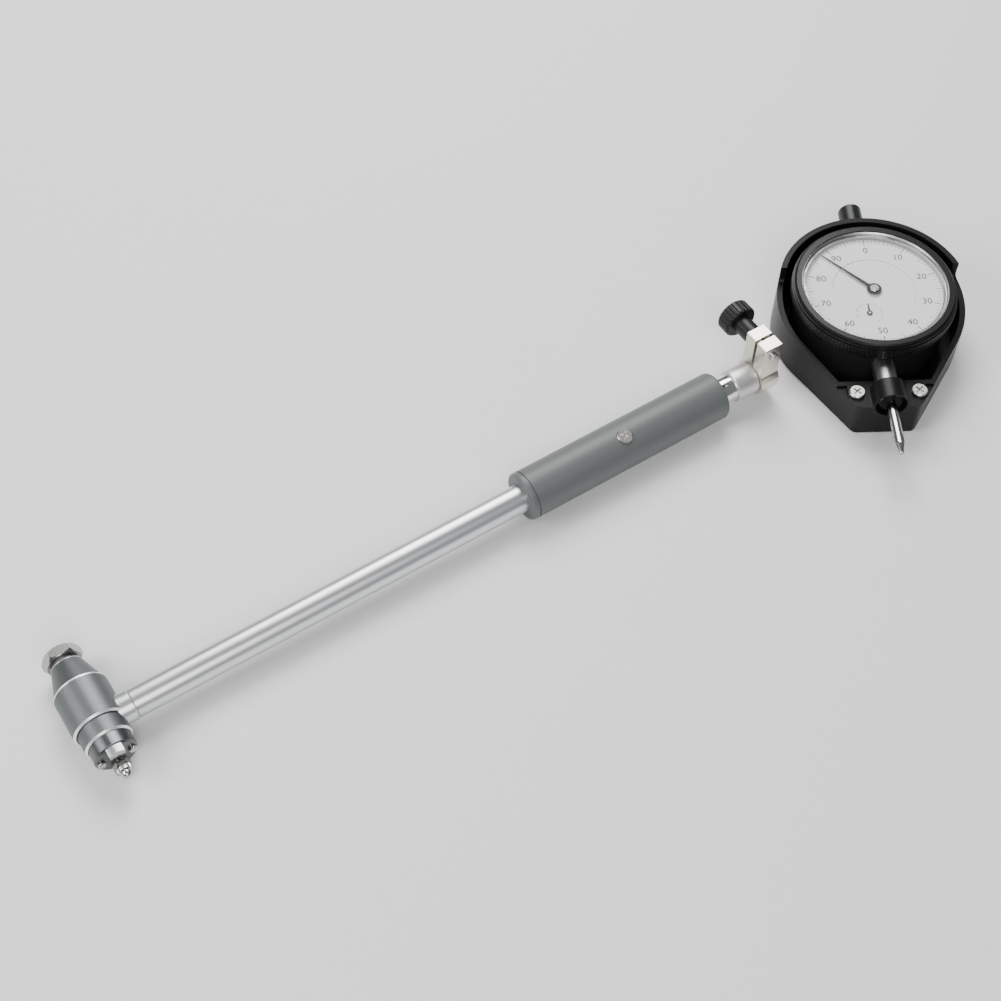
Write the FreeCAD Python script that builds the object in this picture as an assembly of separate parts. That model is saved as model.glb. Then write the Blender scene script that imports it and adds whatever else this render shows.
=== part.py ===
"""Dial bore gauge: a handle with a measuring head, and its dial indicator in a guard beside it.

All lengths are in millimetres and all angles in degrees. The handle lies along +X with the head's
axis along Y. Everything rests on z = 0. The handle's pieces are placed from the crossing of the
tube's axis and the head's axis, the indicator's from the centre of its dial.
"""
import FreeCAD, Part
import math
import os
from FreeCAD import Placement, Rotation, Vector

# Fits
running_gap = 0.03        # radial play of a piece that turns or slides in another
seat_gap = 0.02           # radial play of a piece that is pressed or screwed in
contact_gap = 0.05        # a lever's nose and the piece that it pushes
break_edge = 0.3          # small chamfer on turned edges

# Measuring head, along Y from the tube's axis
head_radius = 8.75
neck_radius = 4.4
bevel = 0.6               # the bright bevels on the head's edges
shoulder = -2.6
cone_start = 12.4
cone_end = cone_start + 10.0
cone_end_radius = 5.2
neck_end = cone_end + 2.8
nose_radius = 7.7
nose_end = shoulder - 6.0
cup_radius = nose_radius - 0.75         # the cup in the nose that the bridge slides in
cup_depth = 2.2
guide_boss_radius = 3.4
guide_boss_end = nose_end - 1.6

# Replaceable anvil's seat
anvil_bore_radius = 2.0
bush_radius = 3.2
bush_length = 9.0
nut_front = neck_end + 2.4
nut_length = 3.7
nut_chamfer = 1.0
nut_flats = 11.4
nut_lip = 0.6
nut_hole_radius = 3.4

# Moving contact
contact_travel = 1.2
contact_nut_flats = 4.9
contact_nut_length = 1.5
contact_nut_inset = 7.6
contact_nut_start = nose_end - contact_nut_inset
plunger_radius = 1.6
plunger_nose_radius = 1.0
plunger_bush_radius = 2.4
plunger_end = contact_nut_start - contact_nut_length - 0.5
tip_flange_radius = 2.3
tip_flange_length = 1.7
tip_end = plunger_end - 3.7
tip_nose_radius = 1.1

# Transfer lever, a bell crank with two equal arms
lever_arm = 3.2
lever_nose_radius = 0.9
lever_hub_radius = 1.7
lever_web = 0.9
lever_thickness = 2.4
lever_pin_radius = 0.7
lever_pin_half = head_radius - 2.55
slot_room = 0.5           # free room round the lever in its slot

# Centring bridge
bridge_face = nose_end - 4.8
bridge_overlap = 0.3      # how far the bridge reaches into the cup at rest
bridge_travel = 1.8
foot_width = 5.0
foot_height = 3.0
foot_inner = 3.9
guide_pin_radius = 0.8
guide_pin_place = 5.0
guide_pin_head_radius = 1.3
guide_pin_head = 0.9
bridge_pocket_radius = 1.5
bridge_pocket_depth = 2.6
bridge_spring_radius = 1.18
bridge_spring_wire = 0.28
bridge_spring_turns = 4

# Handle, along X from the head's axis
tube_radius = 4.9
tube_wall = 1.2
tube_bore_radius = tube_radius - tube_wall
ferrule_radius = tube_radius + 0.25
ferrule_end = head_radius + 2.75
ferrule_spigot_radius = 4.3
ferrule_spigot_start = head_radius - 2.75
tube_spigot_length = 7.5
seam = 0.05               # the fine joint line between ferrule and tube
grip_radius = 8.5
grip_start = 152.8
grip_length = 80.7
grip_end = grip_start + grip_length
grip_round = 1.2
grip_groove_place = 2.2
grip_groove_width = 0.5
grip_groove_depth = 0.35
grip_screw_distance = 39.8
grip_screw_place = grip_start + grip_screw_distance
grip_roll = 15.8          # the grip's screw and the sleeve's slit look this far towards -Y
grip_screw_head_radius = 2.7
grip_screw_head = 1.2
grip_screw_sink = 0.7     # the head's depth in the grip
grip_screw_radius = 1.25

# Split sleeve, collar and clamp that take the indicator's stem
stem_radius = 4.0
stem_bore_radius = stem_radius + seat_gap
sleeve_wall = 0.83
plug_seat = 0.38
plug_radius = stem_bore_radius + plug_seat
sleeve_radius = stem_bore_radius + sleeve_wall
sleeve_start = grip_end - 1.5
sleeve_spigot_start = sleeve_start - 10.0
sleeve_well_radius = 2.7
sleeve_well_start = sleeve_start - 2.0
sleeve_bore_start = sleeve_start + 4.0
sleeve_end = sleeve_start + 23.9
sleeve_slit = 0.7
sleeve_slit_end = sleeve_start + 5.2
collar_radius = sleeve_radius + 0.95
sleeve_neck = 7.6
collar_start = sleeve_start + sleeve_neck
collar_length = 8.6
collar_end = collar_start + collar_length
clamp_start = collar_end + 0.1
clamp_length = 7.3
clamp_radius = sleeve_radius + 1.95
clamp_ear_half = 5.4
clamp_ear_top = 18.4
clamp_slit = 1.2
clamp_ear_round = 0.6
clamp_screw_drop = 4.4
clamp_screw_height = clamp_ear_top - clamp_screw_drop
clamp_screw_radius = 1.5
clamp_screw_stub = 1.3
knob_radius = 6.2
knob_neck = 7.0
knob_start = clamp_ear_half + knob_neck
knob_length = 5.6
knob_end = knob_start + knob_length
knob_neck_radius = 3.4
knob_flutes = 24
knob_flute_radius = 0.45

# Push rod in the tube, with its guides and spring
rod_radius = 1.5
rod_end = sleeve_bore_start - contact_travel - 0.3
rod_collar_radius = 2.6
rod_collar_length = 2.0
rod_guide_length = 6.0
rod_guide_places = (grip_start - 40.8, sleeve_start - 26.0)
rod_collar_place = rod_guide_places[1] - 24.0
rod_spring_wire = 0.6
rod_spring_turns = 6

# Indicator's place beside the handle
dial_x = sleeve_end + 44.0
dial_y = -1.2
stem_turn = -30.7         # turn of the indicator about Z, with its stem towards -Y at 0

# Indicator's case, with its back in the guard
guard_back = 2.0
case_radius = 27.0
case_wall = 2.2
case_height = 18.7
case_bottom = guard_back + 2.0
case_top = case_bottom + case_height
case_lip_radius = case_radius - 4.5
case_lip = 2.5
web_bottom = case_top - 1.1
web_top = case_top + 0.3
back_radius = case_radius - 1.2
back_screw_ring = case_radius - 3.3
back_screw_count = 4
back_screw_head_radius = 1.5
back_screw_radius = 0.8
back_screw_length = 3.6

# Dial and hands
plate_radius = case_radius - 7.5
plate_top = web_bottom - 2.0
plate_bottom = plate_top - 1.4
post_ring = plate_radius - 3.0
post_radius = 1.5
post_count = 3
dial_centre_radius = 14.4
dial_split = 0.1
dial_centre_top = web_top + 0.45
counter_distance = 11.0
counter_turn = -17.1      # from the stem's direction
counter_arbor_radius = 0.5
counter_bottom = dial_centre_top + 0.3
counter_thickness = 0.2
counter_length = 4.0
counter_root = 0.8
counter_tip = 0.3
counter_ring_radius = 1.0
pointer_bottom = counter_bottom + counter_thickness + 0.25
pointer_thickness = 0.25
pointer_tail = 0.0
pointer_root = 1.3
pointer_tip = 0.35
pointer_turn = 44.6       # counter-clockwise from the cap's side
pointer_ring_radius = 2.6
hub_radius = 1.6
hub_top = pointer_bottom + 0.75
arbor_radius = 0.75
arbor_top = hub_top + contact_gap

# Bezel, scale ring, liner and crystal
bezel_wall = 1.8
bezel_ledge = 1.5         # how far the bezel reaches over the case
bezel_radius = case_radius + bezel_wall
bezel_face_radius = bezel_radius - 0.8
bezel_opening = case_radius - bezel_ledge
bezel_lip_bottom = case_top + 0.2
bezel_step = 1.0
bezel_shoulder = 1.2
scale_bottom = web_top + 0.2
scale_top = scale_bottom + 0.5
scale_radius = bezel_opening - 0.3
liner_radius = bezel_opening - seat_gap
liner_inner = bezel_opening - 1.5
crystal_radius = bezel_opening - 0.7
crystal_bottom = arbor_top + 0.2
crystal_top = crystal_bottom + 0.7
liner_top = crystal_top + 0.4
bezel_top = liner_top + 0.45
pointer_length = liner_inner - 1.0

# Guard, with room round the bezel
guard_room = 2.4
guard_wall = 2.0
guard_radius = bezel_radius + guard_room + guard_wall
guard_lip_place = guard_radius
guard_lip = 1.8
guard_end = guard_lip_place + 11.8
guard_end_half = 10.6
guard_corner = 3.0
guard_step_place = 10.0
guard_step_round = 2.0
guard_bottom_round = 1.2
guard_cap_room = 0.5
guard_rim = bezel_top - 1.35

# Stem, spindle and cap, with s the distance from the dial's centre along the stem
stem_height = case_top - 7.2
stem_start = case_radius - 6.0
stem_end = guard_end - 1.0
cap_radius = 4.2
cap_start = case_radius - 1.5
cap_end = guard_radius + 13.3
cap_guide_length = 4.0
cap_wall = 1.6
cap_top_wall = 1.2
bezel_bottom = stem_height + cap_radius + 0.3
spindle_travel = 10.0
spindle_radius = 1.85
spindle_top = cap_top_wall + spindle_travel + 1.3 - cap_end
spindle_end = guard_end + 13.0
spindle_collar_radius = 2.6
spindle_collar_place = 17.5 - cap_start
spindle_collar_length = 1.5
spindle_spring_wire = 0.4
spindle_spring_turns = 7
point_radius = 2.1
point_barrel = 3.8
point_length = 7.6
point_end = spindle_end + point_length
point_ball_radius = 0.9

# Guard's edges at the stem, and the saddle over it
guard_low_rim = stem_height + 3.5
guard_front_rim = stem_height - 1.1
guard_flange_top = stem_height - 2.1
saddle_radius = stem_radius + 2.0
saddle_ear = 1.5
saddle_gap = 0.2
saddle_arch_start = guard_lip_place + guard_lip + 2.3
saddle_front_radius = stem_radius + 1.4
saddle_front_depth = 3.0
saddle_ear_end = guard_end_half + 3.0
guard_screw_place = guard_lip_place + 5.7
guard_screw_half = guard_end_half + 0.1
guard_screw_head_radius = 2.7
guard_screw_head = 1.4
guard_screw_radius = 1.4
guard_screw_length = 8.0

X = Vector(1, 0, 0)
Y = Vector(0, 1, 0)
Z = Vector(0, 0, 1)
axis_height = head_radius          # the head rests on the floor
crossing = Vector(0, 0, axis_height)
LONG = dial_x                      # longer than any cut needs


def turned(profile, origin, along, out):
    """Solid of revolution: profile is a closed list of (distance along the axis, radius)."""
    points = [origin + along * a + out * r for a, r in profile]
    face = Part.Face(Part.makePolygon(points + points[:1]))
    return face.revolve(origin, along, 360)


def rod(radius, start, end, origin, along):
    """Plain cylinder between two places along an axis."""
    return Part.makeCylinder(radius, end - start, origin + along * start, along)


def ring(outer, inner, start, end, origin, along):
    """Plain ring between two places along an axis."""
    return rod(outer, start, end, origin, along).cut(rod(inner, start - 1, end + 1, origin, along))


def block(x0, x1, y0, y1, z0, z1):
    """Box between two corners."""
    return Part.makeBox(x1 - x0, y1 - y0, z1 - z0, Vector(x0, y0, z0))


def bevelled(radius, start, end, chamfer, origin, along, out):
    """Cylinder with both edges chamfered."""
    return turned([(start, 0), (start, radius - chamfer), (start + chamfer, radius),
                   (end - chamfer, radius), (end, radius - chamfer), (end, 0)], origin, along, out)


def hexagon(flats, start, end, origin, along, out, chamfer):
    """Hexagonal bar with its corners turned off at both ends."""
    corner = flats / 2 / math.cos(math.radians(30))
    side = along.cross(out)
    points = []
    for k in range(6):
        angle = math.radians(60 * k)
        points.append(origin + along * start + out * (corner * math.cos(angle))
                      + side * (corner * math.sin(angle)))
    bar = Part.Face(Part.makePolygon(points + points[:1])).extrude(along * (end - start))
    return bar.common(bevelled(corner, start, end, chamfer, origin, along, out))


def coil(radius, wire, start, end, turns, origin, along):
    """Helical spring of square wire about an axis, from one end to the other."""
    half = wire / 2
    length = end - start - wire
    helix = Part.makeHelix(length / turns, length, radius)
    corners = [Vector(radius + half, 0, half), Vector(radius - half, 0, half),
               Vector(radius - half, 0, -half), Vector(radius + half, 0, -half)]
    section = Part.makePolygon(corners + corners[:1])
    spring = Part.Wire(helix.Edges).makePipeShell([section], True, True)
    spring.Placement = Placement(origin + along * (start + half), Rotation(Z, along))
    return spring


def rolled(shape, angle):
    """The shape turned about the tube's axis, the top towards -Y for a positive angle."""
    turned_shape = shape.copy()
    turned_shape.rotate(crossing, X, angle)
    return turned_shape


def cut_all(shape, tools):
    """The shape with each tool cut out of it."""
    for tool in tools:
        shape = shape.cut(tool)
    return shape


# Head


def head_blank():
    """Outside of the head: nose, barrel with bright bevels, cone and threaded neck."""
    cone_top = head_radius - bevel
    return turned([(nose_end, 0), (nose_end, nose_radius - bevel), (nose_end + bevel, nose_radius),
                   (shoulder, nose_radius), (shoulder, head_radius - bevel), (shoulder + bevel, head_radius),
                   (cone_start, head_radius), (cone_start + bevel, cone_top), (cone_end, cone_end_radius),
                   (cone_end, neck_radius), (neck_end, neck_radius), (neck_end, 0)], crossing, Y, Z)


cup_floor = nose_end + cup_depth
lever_y = -lever_arm
slot_low_y = lever_y - lever_hub_radius - 0.1
slot_high_y = lever_nose_radius + contact_travel + slot_room
slot_left_x = -lever_nose_radius - slot_room
slot_right_x = ferrule_spigot_start - 0.2
slot_half_z = lever_thickness / 2 + slot_room
push_face = lever_y - lever_nose_radius - contact_gap
rod_start = lever_arm + lever_nose_radius + contact_gap


def head_body():
    """Head with the lever's slot, the cup for the bridge and the seat for the anvil's bush."""
    body = head_blank()
    boss = rod(guide_boss_radius, guide_boss_end, cup_floor, crossing, Y)
    cup = rod(cup_radius, nose_end - 1, cup_floor, crossing, Y)
    body = body.cut(cup).fuse(boss)
    slot = block(slot_left_x, slot_right_x, slot_low_y, slot_high_y,
                 axis_height - slot_half_z, axis_height + slot_half_z)
    pins = [rod(guide_pin_radius + seat_gap, cup_floor - 1, slot_low_y - 0.2,
                crossing + X * (side * guide_pin_place), Y) for side in (-1, 1)]
    tools = [slot,
             rod(plunger_bush_radius + seat_gap, guide_boss_end - 1, slot_low_y + 0.1, crossing, Y),
             rod(bush_radius + seat_gap, neck_end - bush_length, neck_end + 1, crossing, Y),
             rod(ferrule_spigot_radius + seat_gap, ferrule_spigot_start, head_radius + 1, crossing, X),
             rod(lever_pin_radius + seat_gap, -lever_pin_half, lever_pin_half, crossing + lever_pivot, Z),
             rod(rod_radius + 2 * running_gap, slot_right_x - 0.1, ferrule_spigot_start + 0.1, crossing, X)]
    return cut_all(body, tools + pins)


lever_pivot = Vector(lever_arm, lever_y, 0)


def anvil_bush():
    """Seat bush with the bore that takes an anvil's shank."""
    return turned([(neck_end - bush_length, anvil_bore_radius), (neck_end - bush_length, bush_radius),
                   (neck_end, bush_radius), (neck_end, anvil_bore_radius + break_edge),
                   (neck_end - break_edge, anvil_bore_radius)], crossing, Y, Z)


def anvil_lock_nut():
    """Hexagon nut on the neck; its thin lip holds an anvil's collar against the bush."""
    nut = hexagon(nut_flats, nut_front - nut_length, nut_front, crossing, Y, X, nut_chamfer)
    thread = rod(neck_radius + running_gap, nut_front - nut_length - 1, nut_front - nut_lip, crossing, Y)
    return cut_all(nut, [thread, rod(nut_hole_radius, nut_front - 2, nut_front + 1, crossing, Y)])


def plunger_bush():
    """Bush that guides the contact's plunger."""
    return ring(plunger_bush_radius, plunger_radius + running_gap, guide_boss_end, slot_low_y, crossing, Y)


def contact_plunger():
    """Sliding plunger, with a thinner end that meets the lever's nose."""
    step = slot_low_y - contact_travel - contact_gap
    return turned([(plunger_end, 0), (plunger_end, plunger_radius), (step, plunger_radius),
                   (step, plunger_nose_radius), (push_face, plunger_nose_radius), (push_face, 0)], crossing,
                   Y, Z)


def contact_lock_nut():
    """Small hexagon nut that locks the tip on the plunger."""
    nut = hexagon(contact_nut_flats, contact_nut_start - contact_nut_length, contact_nut_start,
                  crossing, Y, X, break_edge)
    return nut.cut(rod(plunger_radius + seat_gap, contact_nut_start - 9, contact_nut_start + 9, crossing, Y))


def contact_tip():
    """Screwed tip with a knurled flange and a rounded measuring face."""
    back = contact_nut_start - contact_nut_length
    front = back - tip_flange_length
    neck = tip_nose_radius + 0.5
    tip = turned([(back, 0), (back, tip_flange_radius), (front, tip_flange_radius), (front, neck),
                  (tip_end + tip_nose_radius, neck), (tip_end + tip_nose_radius, 0)], crossing, Y, Z)
    nose = turned([(tip_end + tip_nose_radius, 0), (tip_end + tip_nose_radius, neck),
                   (tip_end + 0.5, tip_nose_radius), (tip_end + 0.1, 0.6), (tip_end, 0.01), (tip_end, 0)],
                  crossing, Y, Z)
    return tip.fuse(nose).cut(rod(plunger_radius + seat_gap, plunger_end - seat_gap, back + 1, crossing, Y))


def transfer_lever():
    """Bell crank that turns the contact's travel into the push rod's."""
    pivot = crossing + lever_pivot
    half = lever_thickness / 2
    lever = rod(lever_hub_radius, -half, half, pivot, Z)
    for arm in (Vector(-lever_arm, 0, 0), Vector(0, lever_arm, 0)):
        nose = rod(lever_nose_radius, -half, half, pivot + arm, Z)
        low = Vector(min(0, arm.x), min(0, arm.y), 0)
        across = lever_web / 2
        web = block(pivot.x + low.x - (across if arm.y else 0),
                    pivot.x + max(0, arm.x) + (across if arm.y else 0),
                    pivot.y + low.y - (across if arm.x else 0),
                    pivot.y + max(0, arm.y) + (across if arm.x else 0),
                    pivot.z - half, pivot.z + half)
        lever = lever.fuse(nose).fuse(web)
    return lever.cut(rod(lever_pin_radius + running_gap, -half - 1, half + 1, pivot, Z)).removeSplitter()


def lever_pin():
    """Pin that the transfer lever turns on."""
    return rod(lever_pin_radius, -lever_pin_half, lever_pin_half, crossing + lever_pivot, Z)


bridge_back = nose_end + bridge_overlap


def centring_bridge():
    """Sprung bridge: a cap that slides in the nose, over the guide boss and on two pins."""
    outer = cup_radius - running_gap
    bridge = turned([(bridge_face, 0), (bridge_face, outer - bevel), (bridge_face + bevel, outer),
                     (bridge_back, outer), (bridge_back, 0)], crossing, Y, Z)
    tools = [rod(guide_boss_radius + running_gap, guide_boss_end - bridge_travel - 0.2, 0, crossing, Y),
             rod(plunger_radius + 0.3, bridge_face - 1, 0, crossing, Y)]
    for side in (-1, 1):
        place = crossing + X * (side * guide_pin_place)
        tools.append(rod(guide_pin_radius + running_gap, bridge_face - 1, 0, place, Y))
        tools.append(rod(bridge_pocket_radius, bridge_back - bridge_pocket_depth, 0, place, Y))
    return cut_all(bridge, tools)


def bridge_feet():
    """Two hardened feet that ride on the bore's wall, above and below the contact."""
    feet = []
    outer = cup_radius - running_gap
    for side in (-1, 1):
        low, high = sorted((side * foot_inner, side * outer))
        foot = block(-foot_width / 2, foot_width / 2, bridge_face - foot_height, bridge_face,
                     axis_height + low, axis_height + high)
        foot = foot.common(rod(outer, bridge_face - foot_height, bridge_face, crossing, Y))
        crown = rod(foot_height, -foot_width, foot_width,
                    Vector(0, bridge_face, axis_height + (low + high) / 2), X)
        feet.append(foot.common(crown))
    return Part.makeCompound(feet)


def bridge_springs():
    """Two coil springs round the guide pins that press the bridge outward."""
    return Part.makeCompound([coil(bridge_spring_radius, bridge_spring_wire,
                                   bridge_back - bridge_pocket_depth,
                                   cup_floor, bridge_spring_turns, crossing + X * (side * guide_pin_place), Y)
                              for side in (-1, 1)])


def bridge_guide_pins():
    """Two headed pins that guide the bridge and hold it on."""
    pins = []
    for side in (-1, 1):
        place = crossing + X * (side * guide_pin_place)
        head = bridge_face - contact_gap - guide_pin_head
        pins.append(turned([(head, 0), (head, guide_pin_head_radius - 0.2),
                            (head + 0.2, guide_pin_head_radius),
                            (head + guide_pin_head, guide_pin_head_radius),
                            (head + guide_pin_head, guide_pin_radius), (slot_low_y - 0.2, guide_pin_radius),
                            (slot_low_y - 0.2, 0)], place, Y, Z))
    return Part.makeCompound(pins)


# Handle


def head_ferrule():
    """Ferrule between head and tube, its end hollowed to the head's barrel."""
    body = turned([(0, 0), (0, ferrule_radius), (ferrule_end - break_edge, ferrule_radius),
                   (ferrule_end, ferrule_radius - break_edge), (ferrule_end, 0)], crossing, X, Z)
    body = body.cut(head_blank())
    spigot = rod(ferrule_spigot_radius, ferrule_spigot_start, ferrule_end, crossing, X)
    inner = rod(tube_bore_radius - seat_gap, ferrule_end - 1, ferrule_end + tube_spigot_length, crossing, X)
    ferrule = body.fuse(spigot).fuse(inner)
    return ferrule.cut(rod(rod_radius + running_gap, 0, LONG, crossing, X)).removeSplitter()


def tube():
    """Handle tube from the ferrule to the split sleeve."""
    start = ferrule_end + seam
    return turned([(start, tube_bore_radius), (start, tube_radius - break_edge),
                   (start + break_edge, tube_radius),
                   (sleeve_start, tube_radius), (sleeve_start, tube_bore_radius)], crossing, X, Z)


def push_rod():
    """Rod that carries the contact's travel up the tube, with its spring's collar."""
    edge = break_edge
    return turned([(rod_start, 0), (rod_start, rod_radius), (rod_collar_place, rod_radius),
                   (rod_collar_place, rod_collar_radius),
                   (rod_collar_place + rod_collar_length, rod_collar_radius),
                   (rod_collar_place + rod_collar_length, rod_radius), (rod_end - edge, rod_radius),
                   (rod_end, rod_radius - edge), (rod_end, 0)], crossing, X, Z)


def rod_guides():
    """Two bushes in the tube that keep the rod straight."""
    return Part.makeCompound([ring(tube_bore_radius - seat_gap, rod_radius + running_gap, place,
                                   place + rod_guide_length, crossing, X) for place in rod_guide_places])


def rod_spring():
    """Coil spring that presses the rod towards the lever."""
    wire = rod_spring_wire
    return coil(rod_collar_radius - wire / 2, wire, rod_collar_place + rod_collar_length,
                rod_guide_places[1], rod_spring_turns, crossing, X)


def grip_screw_seat():
    """Height of the screw head's underside above the tube's axis."""
    return grip_radius - grip_screw_sink


def grip():
    """Turned grip with rounded ends and a fine groove near the head's end."""
    length = grip_end - grip_start
    body = rod(grip_radius, grip_start, grip_end, crossing, X)
    ends = [edge for edge in body.Edges if len(edge.Vertexes) == 1 and isinstance(edge.Curve, Part.Circle)]
    body = body.makeFillet(min(grip_round, length / 4), ends)
    groove_start = grip_start + grip_groove_place
    groove = ring(grip_radius + 1, grip_radius - grip_groove_depth, groove_start,
                  groove_start + grip_groove_width, crossing, X)
    place = crossing + X * grip_screw_place
    head_hole = rolled(rod(grip_screw_head_radius + 2 * seat_gap, grip_screw_seat(), grip_radius + 2, place,
                           Z),
                       grip_roll)
    shank_hole = rolled(rod(grip_screw_radius + seat_gap, 0, grip_radius + 2, place, Z), grip_roll)
    return cut_all(body, [groove, rod(tube_radius + seat_gap, 0, LONG + grip_end, crossing, X), head_hole,
                          shank_hole])


def grip_screw():
    """Cross-head screw that holds the grip on the tube."""
    place = crossing + X * grip_screw_place
    seat = grip_screw_seat()
    top = seat + grip_screw_head
    edge = break_edge
    screw = turned([(tube_radius + contact_gap, 0), (tube_radius + contact_gap, grip_screw_radius),
                    (seat, grip_screw_radius), (seat, grip_screw_head_radius),
                    (top - edge, grip_screw_head_radius),
                    (top, grip_screw_head_radius - edge), (top, 0)], place, Z, X)
    return rolled(screw.cut(cross_recess(grip_screw_head_radius, place + Z * top)), grip_roll)


def cross_recess(head, top):
    """Cross-shaped recess for a screw head, cut down from its top."""
    arm = 0.6 * head
    half = 0.13 * head
    depth = 0.3 * head
    bars = block(-arm, arm, -half, half, -depth, 1).fuse(block(-half, half, -arm, arm, -depth, 1))
    bars.Placement = Placement(top, Rotation(Z, 45))
    return bars


def sleeve_plug():
    """Plug that joins the split sleeve to the tube; its end face stops the indicator's stem."""
    start = sleeve_start + seam
    plug = turned([(sleeve_spigot_start, 0), (sleeve_spigot_start, tube_bore_radius - seat_gap),
                   (start, tube_bore_radius - seat_gap), (start, plug_radius - seat_gap),
                   (sleeve_bore_start, plug_radius - seat_gap), (sleeve_bore_start, 0)], crossing, X, Z)
    return cut_all(plug, [rod(rod_radius + running_gap, sleeve_spigot_start - 1, sleeve_bore_start, crossing,
                              X),
                          rod(sleeve_well_radius, sleeve_well_start, sleeve_bore_start + 1, crossing, X)])


def stem_sleeve():
    """Split sleeve with a slit neck and the bore for the indicator's stem."""
    start = sleeve_start + seam
    body = turned([(start, plug_radius), (start, sleeve_radius), (sleeve_end - break_edge, sleeve_radius),
                   (sleeve_end, sleeve_radius - break_edge), (sleeve_end, stem_bore_radius),
                   (sleeve_bore_start, stem_bore_radius), (sleeve_bore_start, plug_radius)], crossing, X, Z)
    neck_slit = block(start, sleeve_slit_end, -sleeve_slit / 2, sleeve_slit / 2,
                      axis_height + stem_bore_radius - 0.6, axis_height + grip_radius)
    end_slit = block(collar_end, sleeve_end + 1, -sleeve_slit / 2, sleeve_slit / 2,
                     axis_height, axis_height + grip_radius)
    return cut_all(body, [rolled(neck_slit, grip_roll), end_slit])


def collar():
    """Plain collar between the sleeve's neck and the clamp."""
    body = bevelled(collar_radius, collar_start, collar_end, break_edge, crossing, X, Z)
    return body.cut(rod(sleeve_radius + seat_gap, 0, sleeve_end, crossing, X))


clamp_end = clamp_start + clamp_length
ear_screw = crossing + X * (clamp_start + clamp_length / 2) + Z * clamp_screw_height


def clamp():
    """Split clamp: a ring with two tall ears that its cross screw pulls together."""
    ring_part = rod(clamp_radius, clamp_start, clamp_end, crossing, X)
    ears = block(clamp_start, clamp_end, -clamp_ear_half, clamp_ear_half, axis_height,
                 axis_height + clamp_ear_top)
    corners = [edge for edge in ears.Edges if edge.BoundBox.ZMin > axis_height + clamp_ear_top / 2
               or (edge.BoundBox.ZLength > clamp_ear_top / 2)]
    ears = ears.makeChamfer(clamp_ear_round / 2, corners)
    slit = block(clamp_start - 1, clamp_end + 1, -clamp_slit / 2, clamp_slit / 2, axis_height,
                 axis_height + clamp_ear_top + 1)
    tools = [rod(sleeve_radius + seat_gap, clamp_start - 1, clamp_end + 1, crossing, X), slit,
             rod(clamp_screw_radius + running_gap, -LONG, LONG, ear_screw, Y)]
    return cut_all(ring_part.fuse(ears), tools).removeSplitter()


def clamp_screw():
    """Cross screw through both ears, fixed in the knob."""
    return bevelled(clamp_screw_radius, -clamp_ear_half - clamp_screw_stub, knob_end - 1, break_edge,
                    ear_screw, Y, Z)


def clamp_knob():
    """Knurled knob with a neck that bears on the ear."""
    neck_start = clamp_ear_half + contact_gap
    edge = 2 * break_edge
    knob = turned([(neck_start, 0), (neck_start, knob_neck_radius), (knob_start, knob_neck_radius),
                   (knob_start, knob_radius - edge), (knob_start + edge, knob_radius),
                   (knob_end - edge, knob_radius), (knob_end, knob_radius - edge), (knob_end, 0)], ear_screw,
                   Y, Z)
    flutes = []
    for k in range(knob_flutes):
        angle = math.radians(360 / knob_flutes * k)
        centre = ear_screw + X * (knob_radius * math.cos(angle)) + Z * (knob_radius * math.sin(angle))
        flutes.append(rod(knob_flute_radius, knob_start - 1, knob_end + 1, centre, Y))
    knob = knob.cut(Part.makeCompound(flutes))
    return knob.cut(rod(clamp_screw_radius + seat_gap, -LONG, knob_end - 1 + seat_gap, ear_screw, Y))


# Indicator, built with its dial's centre over the origin and its stem towards -Y


dial = Vector(0, 0, 0)
stem_axis = Vector(0, 0, stem_height)
DOWN_STEM = Vector(0, -1, 0)


def guard_outline(radius, end, half):
    """Closed outline: an arc about the dial and two tangent sides that narrow to the stem's end."""
    reach = math.hypot(end, half)
    angle = math.atan2(half, end) + math.acos(radius / reach)
    touch_x = radius * math.sin(angle)
    touch_y = -radius * math.cos(angle)
    left, right = Vector(-touch_x, touch_y, 0), Vector(touch_x, touch_y, 0)
    low_left, low_right = Vector(-half, -end, 0), Vector(half, -end, 0)
    arc = Part.Arc(right, Vector(0, radius, 0), left).toShape()
    return Part.Wire([arc, Part.makeLine(left, low_left), Part.makeLine(low_left, low_right),
                      Part.makeLine(low_right, right)])


def guard_prism(radius, end, half, low, high):
    """The outline extruded between two heights."""
    face = Part.Face(guard_outline(radius, end, half))
    face.translate(Z * low)
    return face.extrude(Z * (high - low))


def stepped_cut():
    """Wedge that lowers the guard's rim beside the bezel and down to the flange."""
    points = [Vector(0, guard_step_place, LONG), Vector(0, guard_step_place, guard_low_rim),
              Vector(0, -guard_lip_place, guard_front_rim), Vector(0, -LONG, guard_front_rim),
              Vector(0, -LONG, LONG)]
    wedge = Part.Face(Part.makePolygon(points + points[:1])).extrude(X * (2 * LONG))
    wedge.translate(X * -LONG)
    corner = [edge for edge in wedge.Edges if abs(edge.BoundBox.YMin - guard_step_place) < 0.01
              and abs(edge.BoundBox.ZMax - guard_low_rim) < 0.01]
    return wedge.makeFillet(guard_step_round, corner)


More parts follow.
